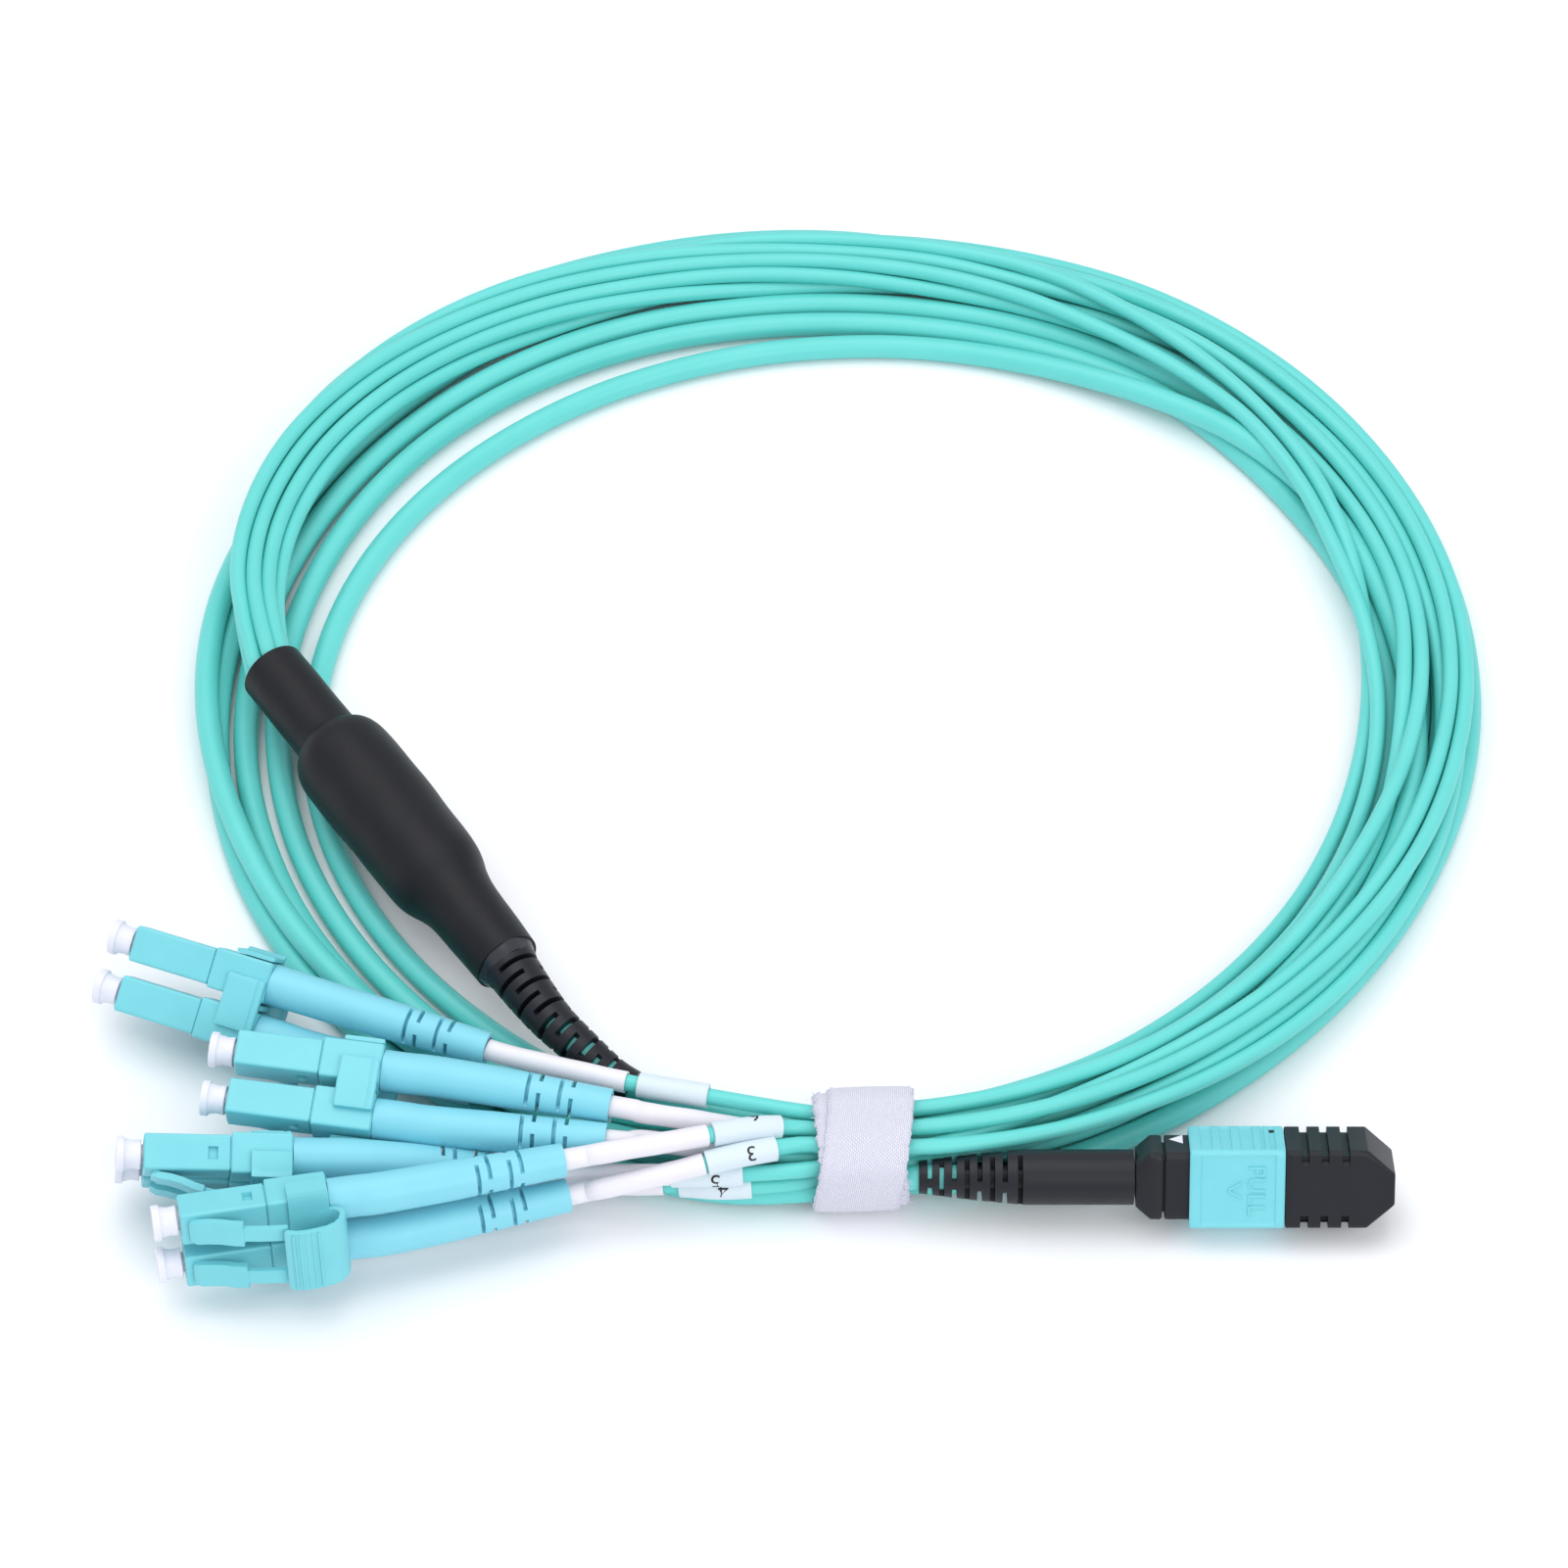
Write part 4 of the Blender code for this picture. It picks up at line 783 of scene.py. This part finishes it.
for leg, (begin, digit, turned) in LABELS.items():
    line = tail_lines[leg]
    between = np.linspace(begin + 0.05, begin + LABEL_LENGTH - 0.05, 14)
    distances = np.concatenate([[begin], between, [begin + LABEL_LENGTH]])
    size = np.full(len(distances), LABEL_RADIUS)
    size[[0, -1]] -= 0.06
    rings = along(line, distances, circle(size, 40), (0, 0.2, 1))
    ends = []
    for ring, step in ((rings[:1], rings[1:2]), (rings[-1:], rings[-2:-1])):
        middle = ring.mean(axis=1, keepdims=True)
        hollow = middle + (ring - middle) * 0.72
        ends.append((hollow, hollow + (step - ring).mean(axis=(0, 1)) * 8))
    rings = np.concatenate([ends[0][1], ends[0][0], rings, ends[1][0], ends[1][1]])
    closed_skin(f"number_sleeve_{leg}", rings, label_vinyl)
    if not digit:
        continue
    run = run_along(line)
    spot = begin + 0.62 * LABEL_LENGTH
    middle, nearer = (np.array([np.interp(s, run, line[:, k]) for k in range(3)]) for s in (spot, spot + 0.5))
    ahead = (nearer - middle) / np.linalg.norm(nearer - middle)
    facing = TO_CAMERA - ahead * (TO_CAMERA @ ahead)
    facing /= np.linalg.norm(facing)
    upward = np.cross(facing, ahead)

    def wrapped(flat):
        """Flat points bent round the sleeve: angle = height / radius, upside down as on the cable."""
        angle = math.radians(turned) - flat[:, 1] / INK_RADIUS
        radius = INK_RADIUS + flat[:, 2]
        around = np.cos(angle)[:, None] * facing + np.sin(angle)[:, None] * upward
        return middle - flat[:, :1] * ahead + around * radius[:, None]

    number = lettering(f"number_{leg}", digit, DIGIT_SIZE, 0.0, wrapped)
    add_piece(f"number_{leg}", number, ink, "cable", ())

# The strap: white hook-and-loop tape, woven nylon, 10 mm wide, wrapped twice round the whole bundle.
# The upper turn lies a little askew on the lower one, whose furry edge shows on both sides.

# Woven nylon: matt white rows of stitches 0.42 x 0.24 mm under a light fluff, coarser than real ones. The
# bluish grey in the gaps between stitches is painted shade.
strap_weave, tree, shader = finish("hook_and_loop_white_nylon", "#F6F7FC", 0.9)
shader.inputs["Sheen Weight"].default_value = 0.3
place = add_node(tree, "ShaderNodeUVMap", [("uv_map", "tape")])
# The brick texture's mortar colour is painted shade in the recessed gaps between stitches; its two stitch
# whites differ at random.
stitches = add_node(
    tree, "ShaderNodeTexBrick",
    [("offset", 0.5), ("Scale", 1.0), ("Mortar Size", 0.09), ("Mortar Smooth", 0.8), ("Brick Width", 0.42),
     ("Row Height", 0.24), ("Color1", linear("#F1F1FA")), ("Color2", linear("#E6E6F2")),
     ("Mortar", linear("#CDCDDF"))],
    [("Vector", place.outputs["UV"])],
)
fluff = add_node(
    tree, "ShaderNodeTexNoise", [("Scale", 2.2), ("Detail", 4.0)], [("Vector", place.outputs["UV"])]
)
height = add_node(
    tree, "ShaderNodeMath", [("operation", "MULTIPLY_ADD"), (1, 0.6)],
    [(0, fluff.outputs["Fac"]), (2, stitches.outputs["Fac"])],
)
bump = add_node(
    tree, "ShaderNodeBump", [("Strength", 0.7), ("Distance", 0.00012), ("invert", True)],
    [("Height", height.outputs["Value"])],
)
tree.links.new(stitches.outputs["Color"], shader.inputs["Base Color"])
tree.links.new(bump.outputs["Normal"], shader.inputs["Normal"])

STRAP_MIDDLE = (73.9, 6.5)
LOOP_HALF = (5.9, 4.95)
LOOP_POWER = 2.9
TAPE_WIDTH = 10.2
TAPE_THICK = 0.5
TAPE_RADIUS = 6.9
FLUFF_COUNT = 420


def strap_band(name, hides, offset, shift, askew, fray):
    """One turn of tape: a grid along the loop and across it, with a thickness, edges slightly frayed.

    The loop is a superellipse, |u / a| ^ p + |v / b| ^ p = 1, with a, b and p named above, at this offset
    from the cables; across it each edge wanders by a sum of sines. The tape's middle lies at
    shift + askew x cos(turn - 135 degrees) along the bundle.
    """
    turn = np.linspace(0, 2 * math.pi, 240, endpoint=False)
    c, s = np.cos(turn), np.sin(turn)
    size = (np.abs(c) ** LOOP_POWER + np.abs(s) ** LOOP_POWER) ** (-1 / LOOP_POWER)
    swell = 0.08 * np.sin(5 * turn) + 0.06 * np.sin(9 * turn + 2)
    across = np.linspace(-1, 1, 25)
    wander = 0.10 * np.sin(17 * turn) + 0.07 * np.sin(41 * turn + 1) + 0.06 * np.sin(67 * turn)
    drift = shift + askew * np.cos(turn - math.radians(135))
    x = drift[:, None] + across[None] * (TAPE_WIDTH / 2 + fray * wander[:, None])
    skin = []
    for level in (offset, offset + TAPE_THICK):
        bulge = 0.12 * (1 - across[None] ** 2) + swell[:, None] - 0.25 * (np.abs(across[None]) > 0.97)
        r = (LOOP_HALF[0] + level + bulge) * (size * c)[:, None] + STRAP_MIDDLE[0]
        z = (LOOP_HALF[1] + level + bulge) * (size * s)[:, None] + STRAP_MIDDLE[1]
        skin.append(np.stack([x, -r, z], axis=2))
    ring = np.concatenate([skin[1], skin[0][:, ::-1]], axis=1)
    turned = ring @ rotation(2, 1.8).T
    band = closed_skin(name, turned, strap_weave, hides=hides, sharp=60, cyclic=True)
    tape = np.empty((len(turn), 2 * len(across), 2))
    tape[..., 0] = (turn * TAPE_RADIUS)[:, None]
    tape[..., 1] = np.concatenate([across, across[::-1]]) * TAPE_WIDTH / 2
    corner = np.zeros(len(band.data.loops), int)
    band.data.loops.foreach_get("vertex_index", corner)
    flat = tape.reshape(-1, 2)[corner].reshape(-1, 4, 2)
    behind = flat[:, :, 0].max(axis=1, keepdims=True) - flat[:, :, 0]
    flat[:, :, 0] += np.where(behind > 20, 2 * math.pi * TAPE_RADIUS, 0)
    band.data.uv_layers.new(name="tape").data.foreach_set("uv", flat.ravel())
    edges = np.concatenate([turned[:, :2].reshape(-1, 3), turned[:, 23:25].reshape(-1, 3)])
    strap_fluff(name + "_fluff", edges, fray)


def strap_fluff(name, edge, length):
    """Loose nylon ends along a tape's edge: four-sided needles with their feet on the given points.

    Each tip stands off its foot by a random vector, normal in each direction with a spread of 0.42 x length.
    """
    chance = np.random.default_rng(len(name))
    foot = edge[chance.integers(0, len(edge), FLUFF_COUNT)]
    tip = foot + chance.normal(0, 0.42 * length, foot.shape)
    spread = chance.normal(0, 0.035, (len(foot), 3, 3))
    points = np.concatenate([foot[:, None] + spread, tip[:, None]], axis=1)
    first = np.arange(len(foot))[:, None, None] * 4
    faces = first + np.array([(0, 1, 2), (0, 3, 1), (1, 3, 2), (2, 3, 0)])
    base_normal = np.cross(spread[:, 1] - spread[:, 0], spread[:, 2] - spread[:, 0])
    towards_tip = np.einsum("ij,ij->i", base_normal, tip - foot) > 0
    faces = np.where(towards_tip[:, None, None], faces[..., ::-1], faces)
    mesh = bpy.data.meshes.new(name)
    mesh.from_pydata(row_frame(points.reshape(-1, 3)).tolist(), [], faces.reshape(-1, 3).tolist())
    add_piece(name, mesh, strap_weave, "cable", ())


strap_band("strap_under_turn", ("strap",), 0.0, 0.2, -0.4, 1.0)
strap_band("strap_upper_turn", (), 0.55, 0.5, 1.0, 0.5)

# The push-on plug: glass-filled black plastic shell and housing, an elastomer boot, an aqua pull sleeve.
# The boot is slotted like the fan-out's; the sleeve slides back on the housing to let the plug go.
PUSH_TURN = rotation(0, 62.0)
PUSH_AT = np.array((0.0, -78.0, 6.33))


def in_push(points):
    """Points of the push-on plug, x along it and z out of its broad face, placed on the table."""
    return PUSH_AT + np.asarray(points, float) @ PUSH_TURN.T


PUSH_BOOT_ROOT, PUSH_BOOT_TIP = 34.9, 9.4
push_line = in_push([(PUSH_BOOT_ROOT, 0, 0), (PUSH_BOOT_TIP, 0, 0)])
slots_at = (21.4, 19.6, 18.1, 16.6, 15.1, 13.6, 12.1, 10.7)
push_slots = [(PUSH_BOOT_ROOT - x, 90 * (1 - i % 2)) for i, x in enumerate(slots_at)]
push_profile = [(0, 3.3), (13, 3.3), (19, 2.75), (25.5, 1.95)]
push_side = PUSH_TURN @ (0.0, 1.0, 0.0)
rings = boot_rings(push_line, push_profile, push_slots, TRUNK_BOOT_FLOOR, push_side, 0.27, 72)
closed_skin("push_plug_bending_boot", rings, black, hides=("push_plug_boot",))

shell = block([
    (35.1, 2.9, 2.9, 0.9), (35.5, 3.2, 3.0, 0.8), (36.7, 4.2, 3.1, 0.6), (36.9, 4.3, 3.1, 0.6),
    (37.9, 4.3, 3.1, 0.6), (38.2, 4.15, 2.95, 0.5),
], 12)
closed_skin("push_plug_shell", in_push(shell), black, hides=("push_plug_rear_shell",))

housing = block([
    (38.0, 3.6, 2.4, 0.4), (38.48, 3.6, 2.4, 0.4), (38.5, 4.15, 2.95, 0.5), (38.65, 4.3, 3.1, 0.6),
    (39.0, 4.3, 3.1, 0.6), (52.5, 4.3, 3.1, 0.6), (52.7, 4.15, 2.95, 0.5), (52.71, 3.9, 2.7, 0.5),
    (58.4, 3.9, 2.7, 0.5), (58.7, 3.7, 2.5, 0.4),
], 16)
closed_skin(
    "push_plug_housing_shell", in_push(housing), black, hides=("push_plug_housing",)
)

# White ink, pad-printed: a thin, matt triangle on the housing's narrow side.
white_paint, tree, shader = finish("pad_print_white_ink", "#E8E9F2", 0.55)
mark = np.array([[(39.1, y, -1.35), (40.7, y, -2.55), (40.7, y, -0.15)] for y in (4.2, 4.33)])
closed_skin("push_plug_white_mark", in_push(mark), white_paint)

# The pull sleeve: one aqua moulding, a box open at both ends, with a rim band at each end.
# Ribs and a stepped line give the narrow sides grip; a plain raised word and arrow say how it works.
sleeve_x = (
    41.75, 42.68, 42.72, 44.05, 44.1, 45.05, 45.1, 46.35, 46.4, 47.35, 47.4, 48.95, 49.0, 49.85, 49.9, 50.3,
    50.34, 50.9, 50.94, 51.55, 51.6, 52.4,
)
sleeve = block([
    (41.4, 4.9, 3.7, 0.5), (41.55, 5.05, 3.85, 0.55), *((x, 5.1, 3.9, 0.6) for x in sleeve_x),
    (52.55, 5.05, 3.85, 0.55), (52.7, 4.9, 3.7, 0.5),
], 32)
for side in (-1, 1):
    low, high = sorted((side * 3.6, side * 4.2))
    sleeve = pushed(sleeve, (42.7, -4.35, low), (51.57, 4.35, high), (0, 0, -side * 0.14))
    low, high = sorted((side * 4.8, side * 5.4))
    for first, last in ((42.7, 44.08), (45.07, 46.38), (47.37, 48.98), (49.87, 50.32), (50.92, 51.57)):
        sleeve = pushed(sleeve, (first, low, -3.2), (last, high, 3.2), (0, -side * 0.16, 0))
inner = block([(x, 4.55, 3.35, 0.3) for x in (52.7, 47.0, 41.4)], 32)
closed_skin(
    "push_plug_pull_sleeve", in_push(np.concatenate([sleeve, inner])), housing_plastic,
    "pull_sleeve", ("push_plug_sleeve",), cyclic=True,
)

for side in (-1, 1):
    def on_face(flat):
        """Flat points on the sleeve's broad face, reading along the width, tops to the plug's front."""
        return in_push(np.stack([49.2 + flat[:, 1], -side * flat[:, 0], side * (3.78 + flat[:, 2])], axis=1))

    word = lettering(f"pull_word_{side}", "PULL", 2.95, 0.26, on_face)
    if side < 0:
        word.flip_normals()
    add_piece(f"push_plug_word_{side}", word, housing_plastic, "pull_sleeve", ())
    for half in (-1, 1):
        arm = [(47.5, half * 1.0, side * 3.82), (45.9, half * 0.02, side * 3.82)]
        ridge = rounded_loop(0.12, 0.14, 0.05, 4)
        rings = along(in_push(arm), np.array([0, 1.85]), ridge, PUSH_TURN @ (0.0, 0.0, 1.0))
        closed_skin(f"push_plug_arrow_{side}_{half}", rings, housing_plastic, "pull_sleeve")

# Each narrow side has a small oval hole near the front rim, dark inside.
oval = circle(1.0, 24)[0] * (0.5, 0.42)
for side in (-1, 1):
    disc = np.stack([
        np.stack([51.2 + oval[:, 0] * share, np.full(24, side * y), -2.2 + oval[:, 1] * share], axis=1)
        for y, share in ((4.8, 1.0), (4.96, 1.0), (4.97, 0.8))
    ])
    closed_skin(f"push_plug_sleeve_hole_{side}", in_push(disc), black, "pull_sleeve")

# The push-on plug's dust cap: black soft plastic, moulded, with a hipped roof and three notched ribs.
# It is hollow to 8.2 mm, and the plug's nose goes 5.9 mm in. It pulls off forwards.
cap_x = (52.95, 53.6, 54.55, 54.6, 55.45, 55.5, 56.95, 57.0, 57.8, 57.85, 59.4, 59.45, 60.25, 60.3, 62.3)
push_cap = block([
    (52.8, 4.9, 3.8, 0.4), *((x, 5.0, 3.9, 0.45) for x in cap_x), (62.5, 4.95, 3.88, 0.45),
    (65.5, 2.2, 3.85, 0.4), (65.7, 2.0, 3.7, 0.35),
], 32)
for side in (-1, 1):
    for first, last in ((54.57, 55.48), (56.97, 57.83), (59.42, 60.28)):
        low, high = sorted((side * 4.2, side * 5.4))
        push_cap = pushed(push_cap, (first, low, -4.2), (last, high, 4.2), (0, -side * 0.75, 0))
        for face in (-1, 1):
            low, high = sorted((face * 3.6, face * 4.2))
            edge_low, edge_high = sorted((side * 3.3, side * 5.4))
            push_cap = pushed(push_cap, (first, edge_low, low), (last, edge_high, high), (0, 0, -face * 0.45))
bay = block([(x, 4.2, 3.0, 0.3) for x in (61.0, 52.8)], 32)
closed_skin(
    "push_plug_dust_cap", in_push(np.concatenate([bay, push_cap])), black, "push_cap",
    ("push_plug_cap",),
)
